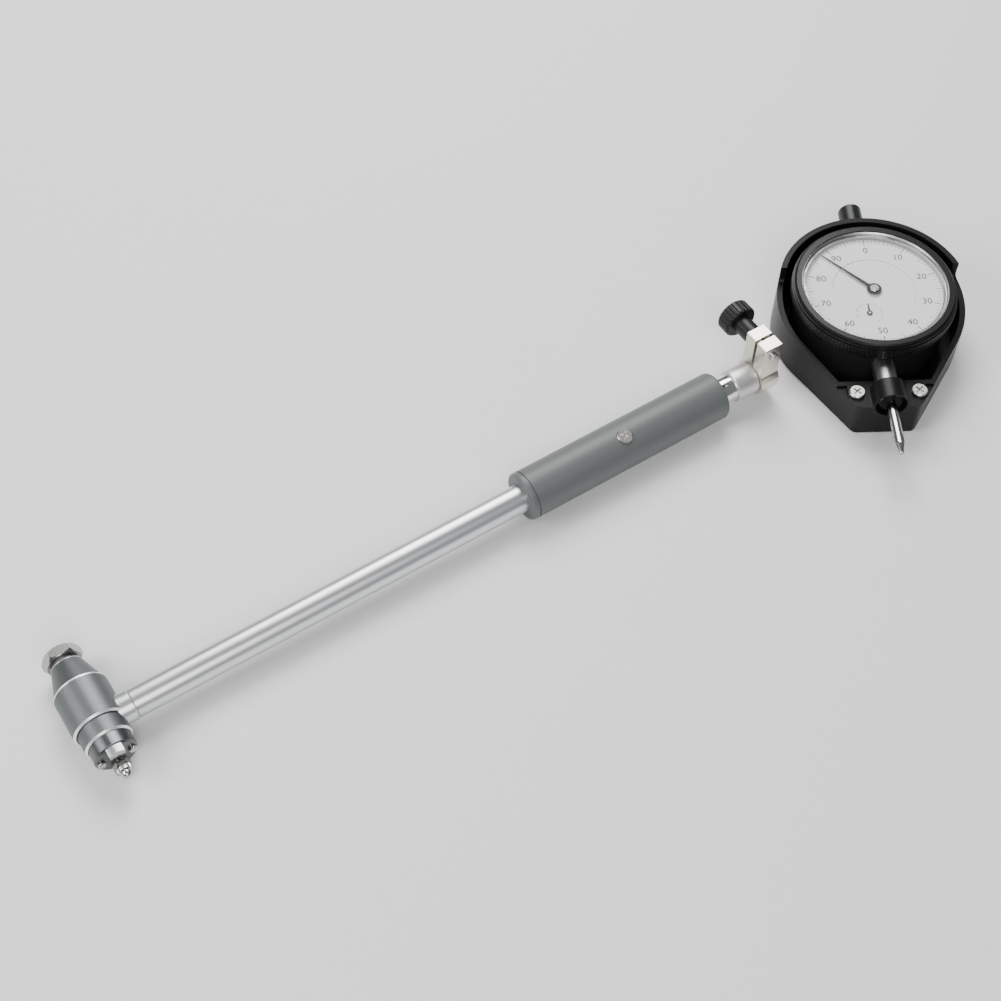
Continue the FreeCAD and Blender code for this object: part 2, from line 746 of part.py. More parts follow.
def guard_shell():
    """Guard: back plate, side wall round the case, and the flange under the stem."""
    body = guard_prism(guard_radius, guard_end, guard_end_half, 0, guard_rim)
    uprights = [edge for edge in body.Edges if edge.BoundBox.ZLength > guard_rim / 2
                and edge.BoundBox.YMax < -guard_end + 1]
    body = body.makeFillet(guard_corner, uprights)
    base = [edge for edge in body.Edges if edge.BoundBox.ZMax < 0.01]
    body = body.makeFillet(guard_bottom_round, base)
    body = body.cut(stepped_cut())
    room = guard_prism(guard_radius - guard_wall, guard_end, guard_end_half - guard_wall, guard_back,
                       guard_rim + 5)
    room = room.common(block(-LONG, LONG, -guard_lip_place, LONG, 0, LONG))
    over_flange = block(-LONG, LONG, -guard_end - 5, -guard_lip_place - guard_lip, guard_flange_top, LONG)
    tools = [room, over_flange,
             rod(stem_radius + seat_gap, 0, guard_end + 5, stem_axis, DOWN_STEM),
             block(-stem_radius - seat_gap, stem_radius + seat_gap, -guard_end - 5, -guard_lip_place + 5,
                   stem_height, LONG),
             rod(saddle_front_radius, guard_end - saddle_front_depth, guard_end + 5, stem_axis, DOWN_STEM),
             rod(cap_radius + guard_cap_room, 0, guard_radius + 5, stem_axis, Y)]
    for side in (-1, 1):
        place = Vector(side * guard_screw_half, -guard_screw_place, 0)
        tools.append(rod(guard_screw_radius + seat_gap,
                         guard_flange_top + saddle_ear - guard_screw_length - 0.5,
                         guard_flange_top + 1, place, Z))
    return cut_all(body, tools)


def guard_saddle():
    """Saddle over the stem, held down on the flange by two screws."""
    start = guard_lip_place + guard_lip + saddle_gap
    arch = rod(saddle_radius, saddle_arch_start, guard_end, stem_axis, DOWN_STEM)
    ears = block(-saddle_ear_end, saddle_ear_end, -guard_end, -start, guard_flange_top,
                 guard_flange_top + saddle_ear)
    saddle = arch.fuse(ears)
    saddle = saddle.common(block(-LONG, LONG, -LONG, LONG, guard_flange_top, LONG))
    room = guard_prism(guard_radius, guard_end, guard_end_half, guard_flange_top - 1, LONG)
    uprights = [edge for edge in room.Edges if edge.BoundBox.ZLength > LONG / 2
                and edge.BoundBox.YMax < -guard_end + 1]
    saddle = saddle.common(room.makeFillet(guard_corner, uprights))
    tools = [rod(stem_radius + seat_gap, 0, guard_end + 5, stem_axis, DOWN_STEM),
             block(-stem_radius - seat_gap, stem_radius + seat_gap, -guard_end - 5, 0, 0, stem_height),
             rod(saddle_front_radius, guard_end - saddle_front_depth, guard_end + 5, stem_axis, DOWN_STEM)]
    for side in (-1, 1):
        tools.append(rod(guard_screw_radius + seat_gap, 0, LONG,
                         Vector(side * guard_screw_half, -guard_screw_place, 0), Z))
    return cut_all(saddle, tools).removeSplitter()


def guard_screws():
    """Two cross-head screws of the saddle."""
    screws = []
    seat = guard_flange_top + saddle_ear
    top = seat + guard_screw_head
    edge = break_edge
    for side in (-1, 1):
        place = Vector(side * guard_screw_half, -guard_screw_place, 0)
        screw = turned([(seat - guard_screw_length, 0), (seat - guard_screw_length, guard_screw_radius),
                        (seat, guard_screw_radius), (seat, guard_screw_head_radius),
                        (top - edge, guard_screw_head_radius), (top, guard_screw_head_radius - edge),
                        (top, 0)],
                       place, Z, X)
        screws.append(screw.cut(cross_recess(guard_screw_head_radius, place + Z * top)))
    return Part.makeCompound(screws)


def back_screw_spots():
    """Places of the back cover's screws."""
    spots = []
    for k in range(back_screw_count):
        angle = math.radians(360 / back_screw_count * (k + 0.5))
        spots.append(Vector(back_screw_ring * math.cos(angle), back_screw_ring * math.sin(angle), 0))
    return spots


counter_angle = math.radians(-90 + counter_turn)
counter_spot = Vector(counter_distance * math.cos(counter_angle), counter_distance * math.sin(counter_angle),
                      0)


def arbor_holes():
    """Bearing holes of the pointer's and the small hand's arbors."""
    return [rod(arbor_radius + running_gap, 0, bezel_top, dial, Z),
            rod(counter_arbor_radius + running_gap, 0, bezel_top, counter_spot, Z)]


def indicator_case():
    """Case ring with the web under the dial and a lip for the back cover's screws."""
    inner = case_radius - case_wall
    body = turned([(case_bottom, case_lip_radius), (case_bottom, case_radius), (case_top, case_radius),
                   (case_top, inner), (web_top, inner - 0.4), (web_top, 0), (web_bottom, 0),
                   (web_bottom, inner),
                   (case_bottom + case_lip, inner), (case_bottom + case_lip, case_lip_radius)], dial, Z, X)
    tools = [rod(stem_radius + seat_gap, 0, case_radius + 1, stem_axis, DOWN_STEM),
             rod(cap_radius + seat_gap, 0, case_radius + 1, stem_axis, Y)] + arbor_holes()
    tools += [rod(back_screw_radius + seat_gap, 0, case_bottom + back_screw_length, spot, Z)
              for spot in back_screw_spots()]
    return cut_all(body, tools)


def case_back():
    """Back cover with countersunk screw holes."""
    body = rod(back_radius, guard_back, case_bottom, dial, Z)
    sink = back_screw_head_radius - back_screw_radius
    holes = [turned([(guard_back - 1, 0), (guard_back - 1, back_screw_head_radius + seat_gap),
                     (guard_back + seat_gap, back_screw_head_radius + seat_gap),
                     (guard_back + sink + seat_gap, back_screw_radius + seat_gap),
                     (case_bottom + 1, back_screw_radius + seat_gap), (case_bottom + 1, 0)], spot, Z, X)
             for spot in back_screw_spots()]
    return cut_all(body, holes)


def back_screws():
    """Countersunk screws of the back cover."""
    sink = back_screw_head_radius - back_screw_radius
    tail = case_bottom + back_screw_length - break_edge
    return Part.makeCompound([turned([(guard_back, 0), (guard_back, back_screw_head_radius),
                                      (guard_back + sink, back_screw_radius), (tail, back_screw_radius),
                                      (tail, 0)],
                                     spot, Z, X) for spot in back_screw_spots()])


def movement_plate():
    """Plate inside the case that carries the arbors' lower bearings."""
    return cut_all(rod(plate_radius, plate_bottom, plate_top, dial, Z), arbor_holes())


def movement_posts():
    """Posts that hang the plate under the case's web."""
    posts = []
    for k in range(post_count):
        angle = math.radians(90 + 360 / post_count * k)
        place = Vector(post_ring * math.cos(angle), post_ring * math.sin(angle), 0)
        posts.append(rod(post_radius, plate_top, web_bottom, place, Z))
    return Part.makeCompound(posts)


def dial_centre():
    """Fixed inner disc of the dial."""
    return cut_all(rod(dial_centre_radius, web_top, dial_centre_top, dial, Z), arbor_holes())


def dial_scale():
    """Outer ring of the dial, which turns with the bezel."""
    return ring(scale_radius, dial_centre_radius + dial_split, scale_bottom, scale_top, dial, Z)


def hand(length, tail, root, tip, ring_radius, bore, low, thickness):
    """Flat hand along +Y with a ring at its root."""
    points = [Vector(-root / 2, 0, 0), Vector(-tip / 2, length, 0), Vector(tip / 2, length, 0),
              Vector(root / 2, 0, 0)]
    if tail:
        points += [Vector(root / 2, -tail, 0), Vector(-root / 2, -tail, 0)]
    blade = Part.Face(Part.makePolygon(points + points[:1])).extrude(Z * thickness)
    hand_shape = blade.fuse(Part.makeCylinder(ring_radius, thickness))
    hand_shape = hand_shape.cut(Part.makeCylinder(bore, 3 * thickness, Z * -thickness)).removeSplitter()
    hand_shape.translate(Z * low)
    return hand_shape


def pointer():
    """Long thin pointer."""
    shape = hand(pointer_length, pointer_tail, pointer_root, pointer_tip, pointer_ring_radius,
                 hub_radius + seat_gap, pointer_bottom, pointer_thickness)
    shape.rotate(dial, Z, pointer_turn)
    return shape


def pointer_hub():
    """Hub of the pointer, pressed on its arbor."""
    edge = 0.15
    return turned([(pointer_bottom, arbor_radius + seat_gap), (pointer_bottom, hub_radius),
                   (hub_top - edge, hub_radius), (hub_top, hub_radius - edge),
                   (hub_top, arbor_radius + seat_gap)],
                  dial, Z, X)


def pointer_arbor():
    """Arbor of the pointer."""
    return bevelled(arbor_radius, plate_bottom, arbor_top, 0.15, dial, Z, X)


def counter_hand():
    """Small hand that counts the pointer's turns."""
    shape = hand(counter_length, 0, counter_root, counter_tip, counter_ring_radius,
                 counter_arbor_radius + seat_gap, counter_bottom, counter_thickness)
    shape.translate(counter_spot)
    return shape


def counter_arbor():
    """Arbor of the small hand."""
    return rod(counter_arbor_radius, plate_bottom, counter_bottom + counter_thickness, counter_spot, Z)


def bezel():
    """Turning bezel with a knurled grip band."""
    inner = case_radius + 2 * running_gap
    step_radius = (bezel_radius + bezel_face_radius) / 2
    grip_low = bezel_bottom + bezel_shoulder
    grip_high = bezel_top - 2 * bezel_step
    neck = bezel_radius - 0.7
    return turned([(bezel_bottom, inner), (bezel_bottom, neck), (grip_low, neck), (grip_low, bezel_radius),
                   (grip_high, bezel_radius), (grip_high, step_radius), (grip_high + bezel_step, step_radius),
                   (grip_high + bezel_step, bezel_face_radius), (bezel_top - 0.4, bezel_face_radius),
                   (bezel_top, bezel_face_radius - 0.6), (bezel_top, bezel_opening),
                   (bezel_lip_bottom, bezel_opening), (bezel_lip_bottom, inner)], dial, Z, X)


def bezel_liner():
    """Bright liner inside the bezel that seats the crystal and holds the scale ring."""
    return turned([(scale_top, liner_inner), (scale_top, liner_radius), (liner_top, liner_radius),
                   (liner_top, liner_radius - 0.15), (crystal_top, crystal_radius + 0.1),
                   (crystal_bottom, crystal_radius + 0.1), (crystal_bottom, liner_inner)], dial, Z, X)


def crystal():
    """Flat crystal over the dial."""
    return bevelled(crystal_radius, crystal_bottom, crystal_top, 0.15, dial, Z, X)


def stem():
    """Stem of the indicator, a plain tube that guides the spindle."""
    edge = break_edge
    bore = spindle_radius + running_gap
    return turned([(stem_start, bore), (stem_start, stem_radius), (stem_end - edge, stem_radius),
                   (stem_end, stem_radius - edge), (stem_end, bore)], stem_axis, DOWN_STEM, Z)


def spindle():
    """Sliding spindle with the collar of its return spring."""
    collar_low = spindle_collar_place
    collar_high = spindle_collar_place + spindle_collar_length
    return turned([(spindle_top, 0), (spindle_top, spindle_radius - 0.3), (spindle_top + 0.3, spindle_radius),
                   (collar_low, spindle_radius), (collar_low, spindle_collar_radius),
                   (collar_high, spindle_collar_radius), (collar_high, spindle_radius),
                   (spindle_end, spindle_radius), (spindle_end, 0)], stem_axis, DOWN_STEM, Z)


def spindle_spring():
    """Return spring between the cap's guide and the spindle's collar."""
    wire = spindle_spring_wire
    return coil(spindle_collar_radius - wire / 2, wire, -cap_start + contact_gap, spindle_collar_place,
                spindle_spring_turns, stem_axis, DOWN_STEM)


def contact_point():
    """Screwed contact point of the spindle: barrel, cone and ball."""
    cone_start_s = spindle_end + point_barrel
    ball_s = point_end - point_ball_radius
    body = turned([(spindle_end, 0), (spindle_end, point_radius - 0.2), (spindle_end + 0.2, point_radius),
                   (cone_start_s, point_radius), (cone_start_s, point_radius - 0.4),
                   (ball_s, point_ball_radius), (ball_s, 0)], stem_axis, DOWN_STEM, Z)
    return body.fuse(Part.makeSphere(point_ball_radius, stem_axis + DOWN_STEM * ball_s))


def spindle_cap():
    """Cap over the spindle's upper end."""
    bore = spindle_radius + running_gap
    free = cap_radius - cap_wall
    top = cap_end - cap_top_wall
    edge = 2 * break_edge
    return turned([(cap_start, bore), (cap_start, cap_radius), (cap_end - edge, cap_radius),
                   (cap_end, cap_radius - edge), (cap_end, 0), (top, 0), (top, free),
                   (cap_start + cap_guide_length, free), (cap_start + cap_guide_length, bore)], stem_axis, Y,
                   Z)


HANDLE = {
    "head_body": head_body,
    "anvil_bush": anvil_bush,
    "anvil_lock_nut": anvil_lock_nut,
    "plunger_bush": plunger_bush,
    "contact_plunger": contact_plunger,
    "contact_lock_nut": contact_lock_nut,
    "contact_tip": contact_tip,
    "transfer_lever": transfer_lever,
    "lever_pin": lever_pin,
    "centring_bridge": centring_bridge,
    "bridge_feet": bridge_feet,
    "bridge_guide_pins": bridge_guide_pins,
    "bridge_springs": bridge_springs,
    "head_ferrule": head_ferrule,
    "tube": tube,
    "push_rod": push_rod,
    "rod_guides": rod_guides,
    "rod_spring": rod_spring,
    "grip": grip,
    "grip_screw": grip_screw,
    "sleeve_plug": sleeve_plug,
    "stem_sleeve": stem_sleeve,
    "collar": collar,
    "clamp": clamp,
    "clamp_screw": clamp_screw,
    "clamp_knob": clamp_knob,
}

INDICATOR = {
    "guard_shell": guard_shell,
    "guard_saddle": guard_saddle,
    "guard_screws": guard_screws,
    "indicator_case": indicator_case,
    "case_back": case_back,
    "back_screws": back_screws,
    "movement_plate": movement_plate,
    "movement_posts": movement_posts,
    "dial_centre": dial_centre,
    "dial_scale": dial_scale,
    "pointer": pointer,
    "pointer_hub": pointer_hub,
    "pointer_arbor": pointer_arbor,
    "counter_hand": counter_hand,
    "counter_arbor": counter_arbor,
    "bezel": bezel,
    "bezel_liner": bezel_liner,
    "crystal": crystal,
    "stem": stem,
    "spindle": spindle,
    "spindle_spring": spindle_spring,
    "contact_point": contact_point,
    "spindle_cap": spindle_cap,
}


def main():
    """Builds every piece, puts the indicator in its place and writes one file for each piece."""
    os.makedirs("parts", exist_ok=True)
    shapes = {name: make() for name, make in HANDLE.items()}
    for name, make in INDICATOR.items():
        shape = make()
        shape.rotate(Vector(0, 0, 0), Z, stem_turn)
        shape.translate(Vector(dial_x, dial_y, 0))
        shapes[name] = shape
    box = FreeCAD.BoundBox()
    for shape in shapes.values():
        box.add(shape.optimalBoundingBox(False))
    shift = Vector(-box.Center.x, -box.Center.y, -box.ZMin)
    print("shift", [round(value, 4) for value in shift])
    for name, shape in shapes.items():
        shape.translate(shift)
        if not shape.isValid():
            print("not valid:", name)
        shape.exportStep(f"parts/{name}.step")
        print(f"{name}: solids {len(shape.Solids)}, volume {shape.Volume:.2f}")


main()
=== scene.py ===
"""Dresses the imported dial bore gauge: finishes, dial printing, knurls, threads, light and camera.

All lengths in this script are in metres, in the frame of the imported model, unless a name ends in _mm.
"""
from __future__ import annotations

import logging
import math
from dataclasses import dataclass, field
from enum import Enum
from typing import Any

import bmesh
import bpy
from mathutils import Matrix, Vector

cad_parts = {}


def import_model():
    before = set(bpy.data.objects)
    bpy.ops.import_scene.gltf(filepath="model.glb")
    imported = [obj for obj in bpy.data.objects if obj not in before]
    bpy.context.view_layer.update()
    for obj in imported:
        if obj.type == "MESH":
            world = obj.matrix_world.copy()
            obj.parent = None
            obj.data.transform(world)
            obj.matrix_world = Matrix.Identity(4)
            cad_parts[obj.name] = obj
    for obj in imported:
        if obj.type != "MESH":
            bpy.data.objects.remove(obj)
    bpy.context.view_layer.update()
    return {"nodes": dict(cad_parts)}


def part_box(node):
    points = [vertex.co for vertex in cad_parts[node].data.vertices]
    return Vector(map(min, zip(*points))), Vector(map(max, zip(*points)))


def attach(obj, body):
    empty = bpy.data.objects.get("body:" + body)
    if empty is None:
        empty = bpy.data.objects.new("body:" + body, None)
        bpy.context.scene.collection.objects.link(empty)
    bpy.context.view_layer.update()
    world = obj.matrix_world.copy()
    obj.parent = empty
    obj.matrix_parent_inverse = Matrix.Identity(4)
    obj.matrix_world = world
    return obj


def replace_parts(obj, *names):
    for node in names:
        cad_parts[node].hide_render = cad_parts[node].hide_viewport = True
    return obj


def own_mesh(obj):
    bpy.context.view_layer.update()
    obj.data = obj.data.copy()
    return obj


LOG = logging.getLogger("bore_gauge")
MM = 0.001
STEM_TURN = math.radians(-30.7)
QUARTER_TURN = math.pi / 2
Z_ALONG_Y = Matrix.Rotation(-QUARTER_TURN, 4, "X")
WELD = 1e-6

# Grain of the colour and of the rubbed spots, in features per metre, and the octaves of each noise.
SHADE_SCALE = 420.0
SHADE_DETAIL = 3.0
RUB_SCALE = 2400.0
RUB_DETAIL = 5.0
RELIEF_DETAIL = 2.0
# Levels of the noise between which a spot turns rubbed, how far wear lowers them, and how much lighter
# a rubbed spot is.
RUB_START = 0.70
RUB_END = 0.88
RUB_DROP = 2.0
RUBBED_TONE = 1.16
BAND_ROUGHNESS = 0.42
LOWEST_ROUGHNESS = 0.02
# Sockets of a Mix node that mixes colours.
MIX_FACTOR, MIX_LOW, MIX_HIGH, MIX_RESULT = 0, 6, 7, 2
# Sides of a thread's ring and of a ridge's section.
THREAD_SEGMENTS = 40
RIDGE_SIDES = 4

Triple = tuple[float, float, float]
Colour = tuple[float, float, float, float]


class Grain(Enum):
    """The fine relief that a piece's making leaves on it."""

    TURNED_X = "turned about X"
    TURNED_Y = "turned about Y"
    TURNED_Z = "turned about Z"
    BLASTED = "bead blasted"
    MOULDED = "moulded"


def add_node(tree: bpy.types.NodeTree, kind: str,
             sources: dict[str | int, bpy.types.NodeSocket] | None = None,
             operation: str | None = None, **values: Any) -> bpy.types.Node:
    """Adds a node to a tree.

    Args:
        tree: The tree to add to.
        kind: The node's type.
        sources: Sockets that feed its inputs, by the input's name or number.
        operation: The node's operation, where it has a choice of them.
        **values: Input values by the input's name.

    Returns:
        The new node.
    """
    node = tree.nodes.new(kind)
    if operation is not None:
        node.operation = operation
    for name, value in values.items():
        node.inputs[name].default_value = value
    for key, source in (sources or {}).items():
        tree.links.new(source, node.inputs[key])
    return node


@dataclass(frozen=True)
class Place:
    """A local frame: its origin and its turn about Z.

    Attributes:
        origin: The frame's origin.
        turn: The turn about Z, in radians.
    """

    origin: Triple
    turn: float = 0.0

    def matrix(self) -> Matrix:
        """Returns the matrix from this frame to the model's."""
        return Matrix.Translation(self.origin) @ Matrix.Rotation(self.turn, 4, "Z")


@dataclass(frozen=True)
class PaintedLightBand:
    """A narrow band along Y painted a flat grey: a painted highlight along a turned bevel, or painted shade.

    Attributes:
        low: Where the band begins along the frame's Y.
        high: Where it ends.
        tone: The flat grey painted on the band, near white for a painted highlight and near black for painted
            shade; all of one piece's stripes share it.
    """

    low: float
    high: float
    tone: float = 1.0


@dataclass(frozen=True)
class Finish:
    """A surface finish: colour, gloss and fine relief.

    Attributes:
        name: The material's name.
        colour: Base colour, linear.
        roughness: Roughness of the surface.
        metallic: 1 for bare metal.
        grain: The kind of fine relief.
        pitch: Size of the relief's finest feature.
        depth: Strength of the relief.
        mottle: How far the colour varies.
        coat: Strength of a clear coat.
        alpha: Opacity.
        streak: How far the roughness varies.
        shine: Level of the surface's reflection where it isn't metal.
        wear: Share of lighter rubbed spots.
    """

    name: str
    colour: Triple
    roughness: float
    metallic: float = 1.0
    grain: Grain = Grain.BLASTED
    pitch: float = 0.00015
    depth: float = 0.08
    mottle: float = 0.05
    coat: float = 0.0
    alpha: float = 1.0
    streak: float = 0.06
    shine: float = 0.5
    wear: float = 0.06

    def material(self, place: Place, painted_light_bands: tuple[PaintedLightBand, ...] = ()) -> bpy.types.Material:
        """Builds the material.

        Args:
            place: The local frame that the relief follows.
            painted_light_bands: Stripes along Y painted a flat grey, as painted highlights or painted shade.

        Returns:
            The new material.
        """
        made = bpy.data.materials.new(self.name)
        made.use_nodes = True
        tree = made.node_tree
        shader = tree.nodes["Principled BSDF"]
        for name, level in (("Metallic", self.metallic), ("Coat Weight", self.coat), ("Alpha", self.alpha),
                            ("Specular IOR Level", self.shine)):
            shader.inputs[name].default_value = level
        local = self._local(tree, place)
        relief = self._relief(tree, local)
        colour = self._shade(tree, local)
        gloss = self._gloss(tree, relief)
        # Painted light: inside the stripes the colour turns to one flat grey, a painted highlight when light
        # and painted shade when dark.
        if painted_light_bands:
            painted_light_mask = self._painted_light_mask(tree, local, painted_light_bands)
            tone = painted_light_bands[0].tone
            colour = self._mixed(tree, painted_light_mask, colour, (tone, tone, tone, 1.0))
            banded = add_node(tree, "ShaderNodeMix", {"Factor": painted_light_mask, "A": gloss}, B=BAND_ROUGHNESS)
            gloss = banded.outputs["Result"]
        bump = add_node(tree, "ShaderNodeBump", {"Height": relief}, Strength=self.depth, Distance=self.pitch)
        for name, source in (("Base Color", colour), ("Roughness", gloss),
                             ("Normal", bump.outputs["Normal"])):
            tree.links.new(source, shader.inputs[name])
        return made

    def _tone(self, scale: float) -> Colour:
        """Returns the base colour scaled, with full alpha."""
        red, green, blue = (min(1.0, part * scale) for part in self.colour)
        return (red, green, blue, 1.0)

    @staticmethod
    def _mixed(tree: bpy.types.NodeTree, factor: bpy.types.NodeSocket, low: Colour | bpy.types.NodeSocket,
               high: Colour) -> bpy.types.NodeSocket:
        """Mixes two colours.

        Args:
            tree: The tree to add to.
            factor: Socket of the mix factor.
            low: Colour at 0, or the socket that gives it.
            high: Colour at 1.

        Returns:
            The mixed colour's socket.
        """
        mix = tree.nodes.new("ShaderNodeMix")
        mix.data_type = "RGBA"
        tree.links.new(factor, mix.inputs[MIX_FACTOR])
        mix.inputs[MIX_HIGH].default_value = high
        if isinstance(low, bpy.types.NodeSocket):
            tree.links.new(low, mix.inputs[MIX_LOW])
        else:
            mix.inputs[MIX_LOW].default_value = low
        return mix.outputs[MIX_RESULT]

    @staticmethod
    def _local(tree: bpy.types.NodeTree, place: Place) -> bpy.types.NodeSocket:
        """Returns the socket of the coordinates in the local frame."""
        coordinates = tree.nodes.new("ShaderNodeTexCoord")
        mapping = add_node(tree, "ShaderNodeMapping", {"Vector": coordinates.outputs["Object"]},
                           Location=place.origin, Rotation=(0.0, 0.0, place.turn))
        mapping.vector_type = "TEXTURE"
        return mapping.outputs["Vector"]

    def _shade(self, tree: bpy.types.NodeTree, local: bpy.types.NodeSocket) -> bpy.types.NodeSocket:
        """Returns the colour's socket: soft mottling, and lighter where the surface is rubbed.

        Args:
            tree: The tree to add to.
            local: Socket of the local coordinates.

        Returns:
            Socket of the colour.
        """
        spread = add_node(tree, "ShaderNodeTexNoise", {"Vector": local}, Scale=SHADE_SCALE,
                          Detail=SHADE_DETAIL)
        shade = self._mixed(tree, spread.outputs["Fac"], self._tone(1 - self.mottle),
                            self._tone(1 + self.mottle))
        spots = add_node(tree, "ShaderNodeTexNoise", {"Vector": local}, Scale=RUB_SCALE, Detail=RUB_DETAIL)
        rubbed = add_node(tree, "ShaderNodeMapRange", {"Value": spots.outputs["Fac"]}, **{
            "From Min": RUB_START - RUB_DROP * self.wear, "From Max": RUB_END - RUB_DROP * self.wear})
        return self._mixed(tree, rubbed.outputs["Result"], shade, self._tone(RUBBED_TONE))

    def _gloss(self, tree: bpy.types.NodeTree, relief: bpy.types.NodeSocket) -> bpy.types.NodeSocket:
        """Returns the roughness's socket, which varies with the relief."""
        rough = add_node(tree, "ShaderNodeMapRange", {"Value": relief}, **{
            "To Min": max(LOWEST_ROUGHNESS, self.roughness - self.streak),
            "To Max": min(1.0, self.roughness + self.streak)})
        return rough.outputs["Result"]

    def _relief(self, tree: bpy.types.NodeTree, local: bpy.types.NodeSocket) -> bpy.types.NodeSocket:
        """Returns the relief's height: turning lines, or an even grain.

        Args:
            tree: The tree to add to.
            local: Socket of the local coordinates.

        Returns:
            Socket of the height, from 0 to 1.
        """
        noise = add_node(tree, "ShaderNodeTexNoise", Scale=1.0 / self.pitch, Detail=RELIEF_DETAIL)
        axis = {Grain.TURNED_X: 0, Grain.TURNED_Y: 1, Grain.TURNED_Z: 2}.get(self.grain)
        if axis is None:
            tree.links.new(local, noise.inputs["Vector"])
            return noise.outputs["Fac"]
        noise.noise_dimensions = "1D"
        parts = add_node(tree, "ShaderNodeSeparateXYZ", {0: local}).outputs
        across = add_node(tree, "ShaderNodeCombineXYZ", {k: parts[k] for k in range(3) if k != axis})
        radius = add_node(tree, "ShaderNodeVectorMath", {0: across.outputs[0]}, "LENGTH")
        total = add_node(tree, "ShaderNodeMath", {0: parts[axis], 1: radius.outputs["Value"]}, "ADD")
        tree.links.new(total.outputs[0], noise.inputs["W"])
        return noise.outputs["Fac"]

    @staticmethod
    def _painted_light_mask(tree: bpy.types.NodeTree, local: bpy.types.NodeSocket,
                   painted_light_bands: tuple[PaintedLightBand, ...]) -> bpy.types.NodeSocket:
        """Returns a socket that is 1 inside the stripes of painted highlight or shade along Y and 0 outside.
        """
        along = add_node(tree, "ShaderNodeSeparateXYZ", {0: local}).outputs[1]
        total: bpy.types.NodeSocket | None = None
        for band in painted_light_bands:
            inside = add_node(tree, "ShaderNodeMath", {0: along}, "COMPARE")
            inside.inputs[1].default_value = (band.low + band.high) / 2
            inside.inputs[2].default_value = (band.high - band.low) / 2
            if total is None:
                total = inside.outputs[0]
            else:
                either = add_node(tree, "ShaderNodeMath", {0: total, 1: inside.outputs[0]}, "MAXIMUM")
                total = either.outputs[0]
        return total


TUBE_ALUMINIUM = Finish("tube_aluminium", (0.70, 0.71, 0.725), 0.34, grain=Grain.TURNED_X, pitch=0.0002,
                        depth=0.10, mottle=0.02)
COLLAR_ALUMINIUM = Finish("collar_aluminium", (0.72, 0.72, 0.71), 0.46, grain=Grain.TURNED_X, pitch=0.0002,
                          depth=0.10, mottle=0.02)
HEAD_ALUMINIUM = Finish("head_aluminium", (0.155, 0.165, 0.168), 0.50, grain=Grain.TURNED_Y, pitch=0.00025,
                        depth=0.10, mottle=0.03)
BRIDGE_STEEL = Finish("bridge_steel", (0.13, 0.134, 0.138), 0.34, grain=Grain.TURNED_Y, pitch=0.0002)
POLISHED_NUT = Finish("polished_nut", (0.40, 0.393, 0.38), 0.20, grain=Grain.TURNED_Y, pitch=0.0004,
                      depth=0.001, mottle=0.01, streak=0.004, wear=0.0)
GROUND_NUT = Finish("ground_nut", (0.25, 0.245, 0.24), 0.26, grain=Grain.TURNED_Y, pitch=0.0002, depth=0.03,
                    wear=0.0)
POLISHED_STEEL_Y = Finish("polished_steel_y", (0.50, 0.495, 0.48), 0.18, grain=Grain.TURNED_Y, depth=0.003,
                          streak=0.01, wear=0.0)
POLISHED_SLEEVE = Finish("polished_sleeve", (0.88, 0.88, 0.87), 0.13, grain=Grain.TURNED_X, depth=0.04)
POLISHED_CLAMP = Finish("polished_clamp", (0.71, 0.675, 0.59), 0.24, pitch=0.0003, depth=0.04)
GROUND_STEEL = Finish("ground_steel", (0.62, 0.62, 0.62), 0.28, grain=Grain.TURNED_Y)
SPRING_STEEL = Finish("spring_steel", (0.62, 0.62, 0.63), 0.25, pitch=0.0002, depth=0.04)
SCREW_STEEL = Finish("screw_steel", (0.50, 0.49, 0.47), 0.33, grain=Grain.TURNED_Z, pitch=0.0003,
                     depth=0.002, mottle=0.02, streak=0.01, wear=0.0)
TURNED_BRASS = Finish("turned_brass", (0.80, 0.60, 0.28), 0.28, grain=Grain.TURNED_Y, pitch=0.0002)
GRIP_GREY = Finish("grip_grey", (0.098, 0.107, 0.106), 0.46, 0.0, Grain.MOULDED, 0.0003, depth=0.10)
GUARD_BLACK = Finish("guard_black", (0.006, 0.0062, 0.0068), 0.36, 0.0, Grain.MOULDED, 0.0005, depth=0.10,
                     mottle=0.12, shine=0.16)
BEZEL_BLACK = Finish("bezel_black", (0.006, 0.006, 0.007), 0.28, 0.0, Grain.TURNED_Z, 0.0002, depth=0.05,
                     mottle=0.10, shine=0.30)
KNOB_BLACK = Finish("knob_black", (0.008, 0.0085, 0.009), 0.38, 0.0, Grain.MOULDED, 0.0003, depth=0.12,
                    mottle=0.12, shine=0.30)
CAP_BLACK = Finish("cap_black", (0.010, 0.012, 0.012), 0.36, 0.0, Grain.TURNED_Y, 0.0003, depth=0.06,
                   mottle=0.12, shine=0.30)
CASE_GREY = Finish("case_grey", (0.012, 0.012, 0.013), 0.38, 0.0, Grain.TURNED_Z, 0.0003, depth=0.06,
                   mottle=0.08, shine=0.30)
LINER_SILVER = Finish("liner_silver", (0.46, 0.465, 0.47), 0.36, grain=Grain.TURNED_Z, depth=0.03,
                      mottle=0.02)
DIAL_WHITE = Finish("dial_white", (0.90, 0.90, 0.91), 0.60, 0.0, pitch=0.0002, depth=0.03, mottle=0.01,
                    wear=0.0)
PRINT_GREY = Finish("print_grey", (0.045, 0.045, 0.05), 0.60, 0.0, pitch=0.0002, depth=0.02, mottle=0.02,
                    wear=0.0)
POINTER_DARK = Finish("pointer_dark", (0.012, 0.012, 0.014), 0.35, 0.0, pitch=0.0002, depth=0.02)
HUB_STEEL = Finish("hub_steel", (0.50, 0.50, 0.51), 0.25, grain=Grain.TURNED_Z, depth=0.04)
